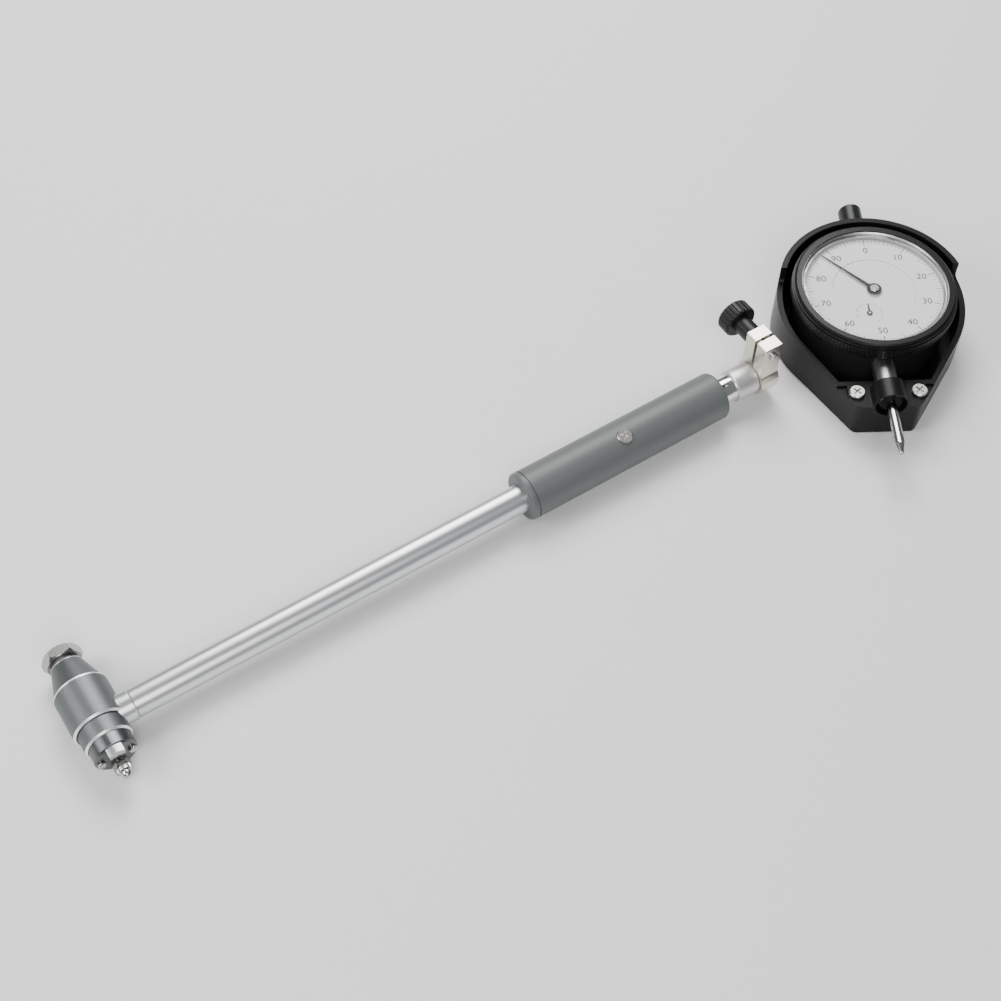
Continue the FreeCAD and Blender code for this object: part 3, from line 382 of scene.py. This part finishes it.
CRYSTAL_CLEAR = Finish("crystal_clear", (0.02, 0.02, 0.02), 0.05, 0.0, pitch=0.002, depth=0.01, mottle=0.0,
                       coat=0.2, alpha=0.05, streak=0.02, wear=0.0)
STEM_STEEL = Finish("stem_steel", (0.32, 0.32, 0.32), 0.36, grain=Grain.TURNED_Y)
FOOT_STEEL = Finish("foot_steel", (0.46, 0.46, 0.45), 0.36, grain=Grain.TURNED_Y)
PLUG_STEEL = Finish("plug_steel", (0.10, 0.10, 0.105), 0.45, grain=Grain.TURNED_X, pitch=0.0002)
FLOOR_PALE = Finish("floor_pale", (0.80, 0.80, 0.80), 0.7, 0.0, pitch=0.02, depth=0.0, mottle=0.01)


class GeometryTool:
    """Runs small geometry trees and returns plain meshes."""

    @staticmethod
    def _tree(name: str, sockets: dict[str, str]) -> tuple[bpy.types.NodeTree, bpy.types.Node]:
        """Starts a tree with named inputs and one output.

        Args:
            name: The tree's name.
            sockets: Input names with their socket types.

        Returns:
            The tree with its input node.
        """
        tree = bpy.data.node_groups.new(name, "GeometryNodeTree")
        for label, kind in sockets.items():
            tree.interface.new_socket(name=label, in_out="INPUT", socket_type=kind)
        tree.interface.new_socket(name="Geometry", in_out="OUTPUT", socket_type="NodeSocketGeometry")
        return tree, tree.nodes.new("NodeGroupInput")

    @staticmethod
    def _set_out(tree: bpy.types.NodeTree, material: bpy.types.NodeSocket,
                 sources: dict[str, bpy.types.NodeSocket]) -> None:
        """Ends a tree: sets a shape on every point, makes it real and gives it the material.

        Args:
            tree: The tree to add to.
            material: Socket of the material.
            sources: Sockets of the points, the shape and, where it is turned, its turn.
        """
        spots = add_node(tree, "GeometryNodeInstanceOnPoints", sources)
        real = add_node(tree, "GeometryNodeRealizeInstances", {0: spots.outputs["Instances"]})
        paint = add_node(tree, "GeometryNodeSetMaterial", {"Geometry": real.outputs[0], "Material": material})
        add_node(tree, "NodeGroupOutput", {0: paint.outputs[0]})

    @classmethod
    def rib_ring(cls) -> bpy.types.NodeTree:
        """Returns the tree of small bars set round a circle, for graduations and knurls."""
        tree, node = cls._tree("RibRing", {
            "Count": "NodeSocketInt", "Radius": "NodeSocketFloat", "Size": "NodeSocketVector",
            "Twist": "NodeSocketFloat", "Material": "NodeSocketMaterial"})
        given = node.outputs
        circle = add_node(tree, "GeometryNodeMeshCircle", {
            "Vertices": given["Count"], "Radius": given["Radius"]})
        bar = add_node(tree, "GeometryNodeMeshCube", {"Size": given["Size"]})
        twist = add_node(tree, "ShaderNodeCombineXYZ", {"Z": given["Twist"]})
        twisted = add_node(tree, "GeometryNodeTransform", {
            "Geometry": bar.outputs["Mesh"], "Rotation": twist.outputs[0]})
        index = tree.nodes.new("GeometryNodeInputIndex")
        share = add_node(tree, "ShaderNodeMath", {0: index.outputs[0], 1: given["Count"]}, "DIVIDE")
        angle = add_node(tree, "ShaderNodeMath", {0: share.outputs[0]}, "MULTIPLY")
        angle.inputs[1].default_value = math.tau
        turn = add_node(tree, "ShaderNodeCombineXYZ", {"Z": angle.outputs[0]})
        cls._set_out(tree, given["Material"], {
            "Points": circle.outputs["Mesh"], "Instance": twisted.outputs["Geometry"],
            "Rotation": turn.outputs[0]})
        return tree

    @classmethod
    def thread_ridges(cls) -> bpy.types.NodeTree:
        """Returns the tree of pointed rings set along Z, for a fine screw thread."""
        tree, node = cls._tree("ThreadRidges", {
            "Count": "NodeSocketInt", "Pitch": "NodeSocketVector", "Radius": "NodeSocketFloat",
            "Depth": "NodeSocketFloat", "Material": "NodeSocketMaterial"})
        given = node.outputs
        line = add_node(tree, "GeometryNodeMeshLine", {"Count": given["Count"], "Offset": given["Pitch"]})
        ring = add_node(tree, "GeometryNodeCurvePrimitiveCircle", {"Radius": given["Radius"]},
                        Resolution=THREAD_SEGMENTS)
        ridge = add_node(tree, "GeometryNodeCurvePrimitiveCircle", {"Radius": given["Depth"]},
                         Resolution=RIDGE_SIDES)
        sweep = add_node(tree, "GeometryNodeCurveToMesh", {
            "Curve": ring.outputs["Curve"], "Profile Curve": ridge.outputs["Curve"]})
        cls._set_out(tree, given["Material"], {
            "Points": line.outputs["Mesh"], "Instance": sweep.outputs["Mesh"]})
        return tree

    @staticmethod
    def run(tree: bpy.types.NodeTree, values: dict[str, Any], matrix: Matrix) -> bpy.types.Mesh:
        """Evaluates a tree once and returns its mesh in place.

        Args:
            tree: The geometry tree.
            values: Values of the tree's named inputs.
            matrix: Where the mesh goes.

        Returns:
            The finished mesh.
        """
        holder = bpy.data.objects.new("holder", bpy.data.meshes.new("holder"))
        bpy.context.scene.collection.objects.link(holder)
        modifier = holder.modifiers.new("tree", "NODES")
        modifier.node_group = tree
        keys = {item.name: item.identifier for item in tree.interface.items_tree if item.in_out == "INPUT"}
        for name, value in values.items():
            modifier[keys[name]] = value
        graph = bpy.context.evaluated_depsgraph_get()
        graph.update()
        mesh = bpy.data.meshes.new_from_object(holder.evaluated_get(graph))
        bpy.data.objects.remove(holder)
        mesh.transform(matrix)
        return mesh


def centre_of(node: str) -> Vector:
    """Returns the middle of a node's box."""
    low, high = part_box(node)
    return (low + high) / 2


def add_piece(name: str, mesh: bpy.types.Mesh, body: str,
              material: bpy.types.Material | None = None) -> bpy.types.Object:
    """Adds a finished piece that rides on a body.

    Args:
        name: The piece's name.
        mesh: Its mesh, in the model's frame.
        body: The body that it moves with.
        material: Its material, unless the mesh already has it.

    Returns:
        The new object.
    """
    if material is not None:
        mesh.materials.clear()
        mesh.materials.append(material)
    piece = bpy.data.objects.new(name, mesh)
    bpy.context.scene.collection.objects.link(piece)
    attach(piece, body)
    LOG.info("piece %s: %d faces, rides on %s", name, len(mesh.polygons), body)
    return piece


def merged(meshes: list[bpy.types.Mesh]) -> bpy.types.Mesh:
    """Joins meshes into one.

    Args:
        meshes: The meshes, which are removed.

    Returns:
        The joined mesh.
    """
    joined = bmesh.new()
    for mesh in meshes:
        joined.from_mesh(mesh)
        bpy.data.meshes.remove(mesh)
    result = bpy.data.meshes.new("joined")
    joined.to_mesh(result)
    joined.free()
    return result


@dataclass(frozen=True)
class Lathe:
    """A turned piece whose axis runs along -Y of a local frame.

    Attributes:
        profile_mm: Pairs of distance along the axis and radius.
        segments: Faces round the axis.
        crease: Edges that turn by more than this stay sharp.
    """

    profile_mm: tuple[tuple[float, float], ...]
    segments: int = 96
    crease: float = math.radians(28)

    def mesh(self, place: Place, start: float) -> bpy.types.Mesh:
        """Turns the profile about the axis.

        Args:
            place: The local frame.
            start: Where the profile begins along -Y.

        Returns:
            The closed mesh in the model's frame.
        """
        shape = bmesh.new()
        rings = []
        for along, radius in self.profile_mm:
            turns = self.segments if radius else 1
            angles = [math.tau * k / turns for k in range(turns)]
            rings.append([shape.verts.new((radius * MM * math.cos(angle), -start - along * MM,
                                           radius * MM * math.sin(angle))) for angle in angles])
        for first, second in zip(rings, rings[1:]):
            for k in range(self.segments):
                corners = [first[k % len(first)], first[(k + 1) % len(first)],
                           second[(k + 1) % len(second)], second[k % len(second)]]
                shape.faces.new(list(dict.fromkeys(corners)))
        bmesh.ops.recalc_face_normals(shape, faces=shape.faces)
        result = bpy.data.meshes.new("turned")
        shape.to_mesh(result)
        shape.free()
        result.transform(place.matrix())
        result.shade_smooth()
        result.set_sharp_from_angle(angle=self.crease)
        return result


@dataclass(frozen=True)
class Thread:
    """A fine screw thread along Y, made of pointed ridges.

    Attributes:
        pitch: Distance from ridge to ridge.
        depth: Half the height of a ridge.
        inset: How far a ridge's middle lies under the surface.
    """

    pitch: float
    depth: float
    inset: float

    def mesh(self, ridges: bpy.types.NodeTree, first: Triple, radius: float, count: int,
             material: bpy.types.Material) -> bpy.types.Mesh:
        """Makes the thread.

        Args:
            ridges: Tree of thread ridges.
            first: Middle of the first ridge.
            radius: Radius of the surface.
            count: Number of ridges.
            material: The thread's material.

        Returns:
            The mesh in place.
        """
        return GeometryTool.run(ridges, {
            "Count": count, "Pitch": (0.0, 0.0, self.pitch), "Radius": radius - self.inset,
            "Depth": self.depth, "Material": material}, Matrix.Translation(first) @ Z_ALONG_Y)


@dataclass(frozen=True)
class Spring:
    """A coil spring and the joint that presses it.

    Attributes:
        node: The spring's node.
        joint: The joint that presses it.
        travel: How far the joint presses it.
        axis: From its free end towards its fixed end.
    """

    node: str
    joint: str
    travel: float
    axis: Triple

    def fit(self, nodes: dict[str, bpy.types.Object]) -> None:
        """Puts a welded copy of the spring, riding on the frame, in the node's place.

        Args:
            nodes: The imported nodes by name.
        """
        shape = bmesh.new()
        shape.from_mesh(nodes[self.node].data)
        bmesh.ops.remove_doubles(shape, verts=shape.verts, dist=WELD)
        mesh = bpy.data.meshes.new(self.node)
        shape.to_mesh(mesh)
        shape.free()
        mesh.materials.append(nodes[self.node].data.materials[0])
        axis = Vector(self.axis).normalized()
        reach = [(vertex.co.dot(axis), vertex.co.copy()) for vertex in mesh.vertices]
        (low, _), (high, fixed) = (pick(reach, key=lambda pair: pair[0]) for pick in (min, max))
        piece = add_piece(self.node + "_coil", mesh, "frame")
        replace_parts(piece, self.node)
        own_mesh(piece)


SPRINGS = (Spring("rod_spring", "rod_slide", 1.22 * MM, (1.0, 0.0, 0.0)),
           Spring("bridge_springs", "bridge_slide", 1.8 * MM, (0.0, 1.0, 0.0)),
           Spring("spindle_spring", "spindle_slide", 10.0 * MM,
                  (-math.sin(STEM_TURN), math.cos(STEM_TURN), 0.0)))


@dataclass
class Dresser:
    """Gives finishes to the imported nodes.

    Attributes:
        nodes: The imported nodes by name.
        made: Materials by finish name, each the last one made.
    """

    nodes: dict[str, bpy.types.Object]
    made: dict[str, bpy.types.Material] = field(default_factory=dict)

    def paint(self, finish: Finish, place: Place, names: tuple[str, ...],
              painted_light_bands: tuple[PaintedLightBand, ...] = ()) -> bpy.types.Material:
        """Puts a finish on nodes.

        Args:
            finish: The finish.
            place: The frame that its relief follows.
            names: The nodes.
            painted_light_bands: Stripes along Y painted a flat grey, as painted highlights or painted shade.

        Returns:
            The finish's new material.
        """
        material = finish.material(place, painted_light_bands)
        self.made[finish.name] = material
        for name in names:
            mesh = self.nodes[name].data
            mesh.materials.clear()
            mesh.materials.append(material)
        LOG.info("finish %s on %s", finish.name, ", ".join(names))
        return material


@dataclass
class MeasuringHead:
    """The head: body, anvil's nut, bridge and contact.

    Attributes:
        dresser: Gives the finishes.
        boss_end_mm: The guide boss's end, from the tube's axis.
        bevel_highlights_mm: Where each bevel painted near white as a painted highlight begins and ends, from
            the tube's axis.
        thread: The neck's thread.
        thread_start: Where it begins, from the tube's axis.
        neck_radius: Radius of the neck.
        tip: The contact's turned tip.
        knurls: Knurls on the tip's flange.
        knurl: Width of a knurl.
        knurl_length: Its length.
        flange_radius: Radius over the knurls.
        flange_middle: The flange's middle, from the tip's rear face.
    """

    dresser: Dresser
    boss_end_mm: float = -10.2
    # Bevels painted near white as painted highlights, from the tube's axis.
    bevel_highlights_mm: tuple[tuple[float, float], ...] = ((-8.6, -8.0), (-2.6, -2.0), (12.0, 13.0), (22.1, 22.5))
    thread: Thread = Thread(0.45 * MM, 0.2 * MM, 0.1 * MM)
    thread_start: float = 22.55 * MM
    neck_radius: float = 4.4 * MM
    tip: Lathe = Lathe((
        (0.0, 0.0), (0.0, 2.06), (0.12, 2.18), (1.58, 2.18), (1.7, 2.06), (1.7, 1.36), (2.0, 1.36),
        (2.1, 1.6), (2.9, 1.6), (3.3, 1.48), (3.65, 1.27), (3.92, 0.95), (4.1, 0.55), (4.2, 0.0)))
    knurls: int = 40
    knurl: float = 0.25 * MM
    knurl_length: float = 1.3 * MM
    flange_radius: float = 2.3 * MM
    flange_middle: float = 0.85 * MM

    def place(self) -> Place:
        """Returns the frame at the crossing of the head's and the tube's axes."""
        low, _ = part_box("head_body")
        return Place((centre_of("head_body").x, low[1] - self.boss_end_mm * MM, centre_of("tube").z))

    def dress(self, ribs: bpy.types.NodeTree, ridges: bpy.types.NodeTree) -> None:
        """Gives the head its finishes and its fine detail.

        Args:
            ribs: Tree of bars round a circle.
            ridges: Tree of thread ridges.
        """
        place = self.place()
        # Painted highlight: each turned bevel of the body is painted near white.
        painted_light_bands = tuple(PaintedLightBand(start * MM, end * MM) for start, end in self.bevel_highlights_mm)
        aluminium = self.dresser.paint(HEAD_ALUMINIUM, place, ("head_body",), painted_light_bands)
        steel = self.dresser.paint(POLISHED_STEEL_Y, place, (
            "contact_tip", "contact_plunger", "bridge_guide_pins", "lever_pin"))
        for finish, names in ((BRIDGE_STEEL, ("centring_bridge",)),
                              (POLISHED_NUT, ("anvil_lock_nut",)),
                              (GROUND_NUT, ("contact_lock_nut",)),
                              (FOOT_STEEL, ("bridge_feet",)),
                              (TURNED_BRASS, ("anvil_bush", "plunger_bush", "rod_guides"))):
            self.dresser.paint(finish, place, names)
        self._tip(ribs, place, steel)
        self._neck_thread(ridges, place, aluminium)

    def _tip(self, ribs: bpy.types.NodeTree, place: Place, steel: bpy.types.Material) -> None:
        """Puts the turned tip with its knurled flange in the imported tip's place."""
        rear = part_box("contact_tip")[1][1]
        middle = (place.origin[0], rear - self.flange_middle, place.origin[2])
        knurl = GeometryTool.run(ribs, {
            "Count": self.knurls, "Radius": self.flange_radius - self.knurl / math.sqrt(2),
            "Size": (self.knurl, self.knurl, self.knurl_length), "Twist": QUARTER_TURN / 2,
            "Material": steel}, Matrix.Translation(middle) @ Z_ALONG_Y)
        mesh = merged([self.tip.mesh(place, place.origin[1] - rear), knurl])
        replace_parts(add_piece("contact_tip_turned", mesh, "contact", steel), "contact_tip")

    def _neck_thread(self, ridges: bpy.types.NodeTree, place: Place, aluminium: bpy.types.Material) -> None:
        """Cuts the fine thread that shows between the nut and the cone."""
        nut_low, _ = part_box("anvil_lock_nut")
        start = place.origin[1] + self.thread_start
        count = int((nut_low[1] - start) / self.thread.pitch)
        mesh = self.thread.mesh(ridges, (place.origin[0], start, place.origin[2]), self.neck_radius, count,
                                aluminium)
        add_piece("neck_thread", mesh, "frame")


@dataclass
class Handle:
    """The handle: ferrule, tube, grip, sleeve, collar, clamp and knob.

    Attributes:
        dresser: Gives the finishes.
        thread: The clamp screw's thread.
        thread_start: The first ridge's distance from the screw's end.
        stub: How far the screw's end stands out of the ear.
    """

    dresser: Dresser
    thread: Thread = Thread(0.32 * MM, 0.12 * MM, 0.05 * MM)
    thread_start: float = 0.45 * MM
    stub: float = 1.3 * MM

    def dress(self, head: Place, ridges: bpy.types.NodeTree) -> None:
        """Gives the handle its finishes and the clamp screw its thread.

        Args:
            head: The frame at the crossing of the axes.
            ridges: Tree of thread ridges.
        """
        screw = Place(tuple(centre_of("grip_screw")))
        knob = Place(tuple(centre_of("clamp_knob")))
        for finish, place, names in ((TUBE_ALUMINIUM, head, ("tube", "head_ferrule", "push_rod")),
                                     (GRIP_GREY, head, ("grip",)),
                                     (SCREW_STEEL, screw, ("grip_screw",)),
                                     (POLISHED_SLEEVE, head, ("stem_sleeve",)),
                                     (PLUG_STEEL, head, ("sleeve_plug",)),
                                     (COLLAR_ALUMINIUM, head, ("collar",)),
                                     (POLISHED_CLAMP, head, ("clamp",)),
                                     (GROUND_STEEL, knob, ("clamp_screw", "transfer_lever")),
                                     (KNOB_BLACK, knob, ("clamp_knob",)),
                                     (SPRING_STEEL, head, tuple(spring.node for spring in SPRINGS))):
            self.dresser.paint(finish, place, names)
        self._screw_thread(ridges)

    def _screw_thread(self, ridges: bpy.types.NodeTree) -> None:
        """Cuts the thread on the clamp screw's end that stands out of the ear."""
        low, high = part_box("clamp_screw")
        middle = centre_of("clamp_screw")
        count = 1 + int((self.stub - self.thread_start - self.thread.depth) / self.thread.pitch)
        mesh = self.thread.mesh(ridges, (middle.x, low[1] + self.thread_start, middle.z),
                                (high[0] - low[0]) / 2, count, self.dresser.made[GROUND_STEEL.name])
        add_piece("clamp_screw_thread", mesh, "knob")


@dataclass(frozen=True)
class Marks:
    """A ring of graduations.

    Attributes:
        count: Number of graduations.
        length: Length of one.
        width: Its width.
    """

    count: int
    length: float
    width: float


@dataclass
class Dial:
    """The printing on the dial.

    Attributes:
        rim: Outer radius of the graduations.
        scale: The graduations' rings.
        numerals: How many numerals stand round the dial.
        numeral_step: Step from one numeral to the next.
        numeral_radius: Radius that the numerals stand on.
        numeral_height: Height of a numeral.
        font_ratio: Font size of a numeral of height 1.
        outline_steps: Steps of a curve in a numeral's outline.
        counter_distance: Distance of the small dial from the centre.
        counter_turn: Its turn from the stem's direction.
        counter_rim: Outer radius of its graduations.
        counter_scale: Its graduations' rings.
        thickness: Thickness of the printing.
    """

    rim: float = 23.7 * MM
    scale: tuple[Marks, ...] = (Marks(100, 1.3 * MM, 0.12 * MM), Marks(20, 2.08 * MM, 0.16 * MM),
                                Marks(10, 2.6 * MM, 0.26 * MM))
    numerals: int = 10
    numeral_step: int = 10
    numeral_radius: float = 18.7 * MM
    numeral_height: float = 2.7 * MM
    font_ratio: float = 1.35
    outline_steps: int = 4
    counter_distance: float = 11.0 * MM
    counter_turn: float = math.radians(-17.1)
    counter_rim: float = 4.7 * MM
    counter_scale: tuple[Marks, ...] = (Marks(10, 0.8 * MM, 0.2 * MM), Marks(50, 0.4 * MM, 0.1 * MM))
    thickness: float = 0.02 * MM

    def print_marks(self, ribs: bpy.types.NodeTree, centre: Vector) -> None:
        """Prints graduations, numerals and the small dial.

        Args:
            ribs: Tree of bars round a circle.
            centre: The dial's centre.
        """
        ink = PRINT_GREY.material(Place(tuple(centre)))
        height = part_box("dial_scale")[1][2] + self.thickness / 2
        face = Place((centre.x, centre.y, height), STEM_TURN + QUARTER_TURN)
        mesh = self._graduations(ribs, ink, face, self.rim, self.scale)
        add_piece("dial_graduations", mesh, "bezel", ink)
        upright = Place((centre.x, centre.y, height), STEM_TURN)
        numerals = [self._numeral(k, upright) for k in range(self.numerals)]
        add_piece("dial_numerals", merged(numerals), "bezel", ink)
        angle = self.counter_turn - QUARTER_TURN
        spot = Matrix.Rotation(STEM_TURN, 4, "Z") @ Vector((
            self.counter_distance * math.cos(angle), self.counter_distance * math.sin(angle), 0))
        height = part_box("dial_centre")[1][2] + self.thickness / 2
        small = Place((centre.x + spot.x, centre.y + spot.y, height), STEM_TURN + QUARTER_TURN)
        mesh = self._graduations(ribs, ink, small, self.counter_rim, self.counter_scale)
        add_piece("counter_graduations", mesh, "frame", ink)

    def _graduations(self, ribs: bpy.types.NodeTree, ink: bpy.types.Material, face: Place, rim: float,
                     scale: tuple[Marks, ...]) -> bpy.types.Mesh:
        """Returns rings of printed bars that end at a rim.

        Args:
            ribs: Tree of bars round a circle.
            ink: The printing's material.
            face: The frame of the rings.
            rim: The bars' outer radius.
            scale: The rings.

        Returns:
            The mesh in place.
        """
        return merged([GeometryTool.run(ribs, {
            "Count": marks.count, "Radius": rim - marks.length / 2,
            "Size": (marks.length, marks.width, self.thickness), "Material": ink}, face.matrix())
            for marks in scale])

    def _numeral(self, index: int, face: Place) -> bpy.types.Mesh:
        """Returns one upright numeral as a mesh.

        Args:
            index: Its place round the dial, clockwise from the top.
            face: The dial's frame, with its top along Y.

        Returns:
            The mesh in place.
        """
        curve = bpy.data.curves.new("numeral", "FONT")
        curve.body = str(self.numeral_step * index)
        curve.align_x = "CENTER"
        curve.align_y = "CENTER"
        curve.size = self.numeral_height * self.font_ratio
        curve.extrude = self.thickness / 2
        curve.resolution_u = self.outline_steps
        holder = bpy.data.objects.new("numeral", curve)
        bpy.context.scene.collection.objects.link(holder)
        graph = bpy.context.evaluated_depsgraph_get()
        mesh = bpy.data.meshes.new_from_object(holder.evaluated_get(graph))
        bpy.data.objects.remove(holder)
        angle = QUARTER_TURN - math.tau * index / self.numerals
        spot = (self.numeral_radius * math.cos(angle), self.numeral_radius * math.sin(angle), 0)
        mesh.transform(face.matrix() @ Matrix.Translation(spot))
        return mesh


@dataclass
class Indicator:
    """The dial indicator in its guard.

    Attributes:
        dresser: Gives the finishes.
        stem_height: Height of the stem's axis.
        bezel_ribs: Ribs on the bezel's grip band.
        rib: Width of a rib.
        band_foot: Height of the grip band's lower edge over the bezel's.
        band_drop: Depth of its upper edge under the bezel's.
        stem_end_painted_shade: The stem's end, painted near black as painted shade.
        point: The spindle's turned contact point.
        point_start: Where it begins, from the dial's centre along the stem.
    """

    dresser: Dresser
    stem_height: float = 15.5 * MM
    bezel_ribs: int = 150
    rib: float = 0.75 * MM
    band_foot: float = 1.5 * MM
    band_drop: float = 2.4 * MM
    # Painted shade: the stem's end is painted near black.
    stem_end_painted_shade: PaintedLightBand = PaintedLightBand(-50.0 * MM, -43.8 * MM, 0.01)
    point_start: float = 58.0 * MM
    point: Lathe = Lathe((
        (0.0, 0.0), (0.0, 1.9), (0.2, 2.1), (3.65, 2.1), (3.8, 1.95), (3.8, 1.7), (6.85, 0.92), (7.1, 0.84),
        (7.3, 0.68), (7.47, 0.45), (7.57, 0.2), (7.6, 0.0)))

    def dress(self, ribs: bpy.types.NodeTree) -> None:
        """Gives the indicator its finishes, its knurl and its dial's printing.

        Args:
            ribs: Tree of bars round a circle.
        """
        centre = centre_of("crystal")
        face = Place((centre.x, centre.y, 0.0), STEM_TURN)
        stem = Place((centre.x, centre.y, self.stem_height), STEM_TURN)
        for finish, names in ((GUARD_BLACK, ("guard_shell", "guard_saddle")),
                              (SCREW_STEEL, ("guard_screws", "back_screws")),
                              (CASE_GREY, ("indicator_case", "case_back")),
                              (BEZEL_BLACK, ("bezel",)),
                              (LINER_SILVER, ("bezel_liner",)),
                              (CRYSTAL_CLEAR, ("crystal",)),
                              (DIAL_WHITE, ("dial_scale", "dial_centre")),
                              (POINTER_DARK, ("pointer", "counter_hand")),
                              (HUB_STEEL, ("pointer_hub", "pointer_arbor", "counter_arbor")),
                              (TURNED_BRASS, ("movement_plate", "movement_posts"))):
            self.dresser.paint(finish, face, names)
        # The stem's end gets painted shade, near black.
        self.dresser.paint(STEM_STEEL, stem, ("stem",), (self.stem_end_painted_shade,))
        self.dresser.paint(CAP_BLACK, stem, ("spindle_cap",))
        steel = self.dresser.paint(POLISHED_STEEL_Y, stem, ("spindle", "contact_point"))
        mesh = self.point.mesh(stem, self.point_start)
        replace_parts(add_piece("contact_point_turned", mesh, "spindle", steel), "contact_point")
        self._bezel_knurl(ribs, centre)
        Dial().print_marks(ribs, centre)

    def _bezel_knurl(self, ribs: bpy.types.NodeTree, centre: Vector) -> None:
        """Knurls the bezel's grip band."""
        low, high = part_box("bezel")
        bottom, top = low[2] + self.band_foot, high[2] - self.band_drop
        mesh = GeometryTool.run(ribs, {
            "Count": self.bezel_ribs, "Radius": (high[0] - low[0] - self.rib) / 2,
            "Size": (self.rib, self.rib, top - bottom), "Twist": QUARTER_TURN / 2,
            "Material": self.dresser.made[BEZEL_BLACK.name]},
            Matrix.Translation((centre.x, centre.y, (bottom + top) / 2)))
        add_piece("bezel_knurl", mesh, "bezel")


@dataclass(frozen=True)
class Lamp:
    """A soft square light.

    Attributes:
        name: The light's name.
        spot: Where it stands.
        size: Length of its side.
        power: Its power in watts.
    """

    name: str
    spot: Triple
    size: float
    power: float


@dataclass
class Studio:
    """The pale floor, the soft lights and the camera.

    Attributes:
        eye: Where the camera stands, as in the photograph.
        right: The photograph's horizontal direction.
        aim: What the camera looks at.
        lens_mm: Focal length.
        sensor_mm: Width of the camera's sensor.
        nearest: The least distance that the camera shows.
        floor_reach: Half the floor's side.
        sky: Colour of the world's even light.
        sky_level: Its strength.
        lamps: The soft lights.
    """

    eye: Triple = (-0.188325, -0.251604, 0.461200)
    right: Triple = (0.850784, -0.524899, -0.025447)
    aim: Triple = (-0.0169, 0.0093, 0.0122)
    lens_mm: float = 60.0
    sensor_mm: float = 36.0
    nearest: float = 0.01
    floor_reach: float = 3.0
    sky: Colour = (0.95, 0.97, 1.0, 1.0)
    sky_level: float = 0.20
    lamps: tuple[Lamp, ...] = (Lamp("key", (0.30, 0.55, 0.78), 0.60, 12.5),
                               Lamp("left", (-0.75, 0.20, 0.60), 0.50, 6.0),
                               Lamp("front", (-0.30, -0.70, 0.80), 0.50, 7.0))

    def build(self) -> None:
        """Adds floor, lights, world and camera."""
        self._floor()
        self._lights()
        self._camera()

    def _floor(self) -> None:
        """Adds the pale floor."""
        shape = bmesh.new()
        bmesh.ops.create_grid(shape, x_segments=1, y_segments=1, size=self.floor_reach)
        mesh = bpy.data.meshes.new("floor")
        shape.to_mesh(mesh)
        shape.free()
        mesh.materials.append(FLOOR_PALE.material(Place((0.0, 0.0, 0.0))))
        floor = bpy.data.objects.new("floor", mesh)
        bpy.context.scene.collection.objects.link(floor)

    def _lights(self) -> None:
        """Adds the soft lights and the world's even light."""
        world = bpy.data.worlds.new("studio")
        world.use_nodes = True
        sky = world.node_tree.nodes["Background"].inputs
        sky["Color"].default_value = self.sky
        sky["Strength"].default_value = self.sky_level
        bpy.context.scene.world = world
        for lamp in self.lamps:
            data = bpy.data.lights.new(lamp.name, "AREA")
            data.size = lamp.size
            data.energy = lamp.power
            light = bpy.data.objects.new(lamp.name, data)
            light.location = lamp.spot
            light.rotation_euler = (Vector(self.aim) - Vector(lamp.spot)).to_track_quat("-Z", "Y").to_euler()
            bpy.context.scene.collection.objects.link(light)

    def _camera(self) -> None:
        """Adds the camera at the photograph's place, aimed at the gauge."""
        forward = (Vector(self.aim) - Vector(self.eye)).normalized()
        side = Vector(self.right)
        side = (side - forward * side.dot(forward)).normalized()
        up = side.cross(forward)
        data = bpy.data.cameras.new("camera")
        data.lens = self.lens_mm
        data.sensor_width = self.sensor_mm
        data.clip_start = self.nearest
        camera = bpy.data.objects.new("camera", data)
        turn = Matrix((side, up, -forward)).transposed().to_4x4()
        camera.matrix_world = Matrix.Translation(self.eye) @ turn
        bpy.context.scene.collection.objects.link(camera)
        bpy.context.scene.camera = camera


def main() -> None:
    """Builds the dressed gauge and its studio."""
    logging.basicConfig(level=logging.INFO, format="%(name)s: %(message)s")
    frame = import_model()
    dresser = Dresser(frame["nodes"])
    ribs = GeometryTool.rib_ring()
    ridges = GeometryTool.thread_ridges()
    head = MeasuringHead(dresser)
    head.dress(ribs, ridges)
    Handle(dresser).dress(head.place(), ridges)
    Indicator(dresser).dress(ribs)
    for spring in SPRINGS:
        spring.fit(frame["nodes"])
    Studio().build()
    bpy.context.view_layer.update()


if __name__ == "__main__":
    main()
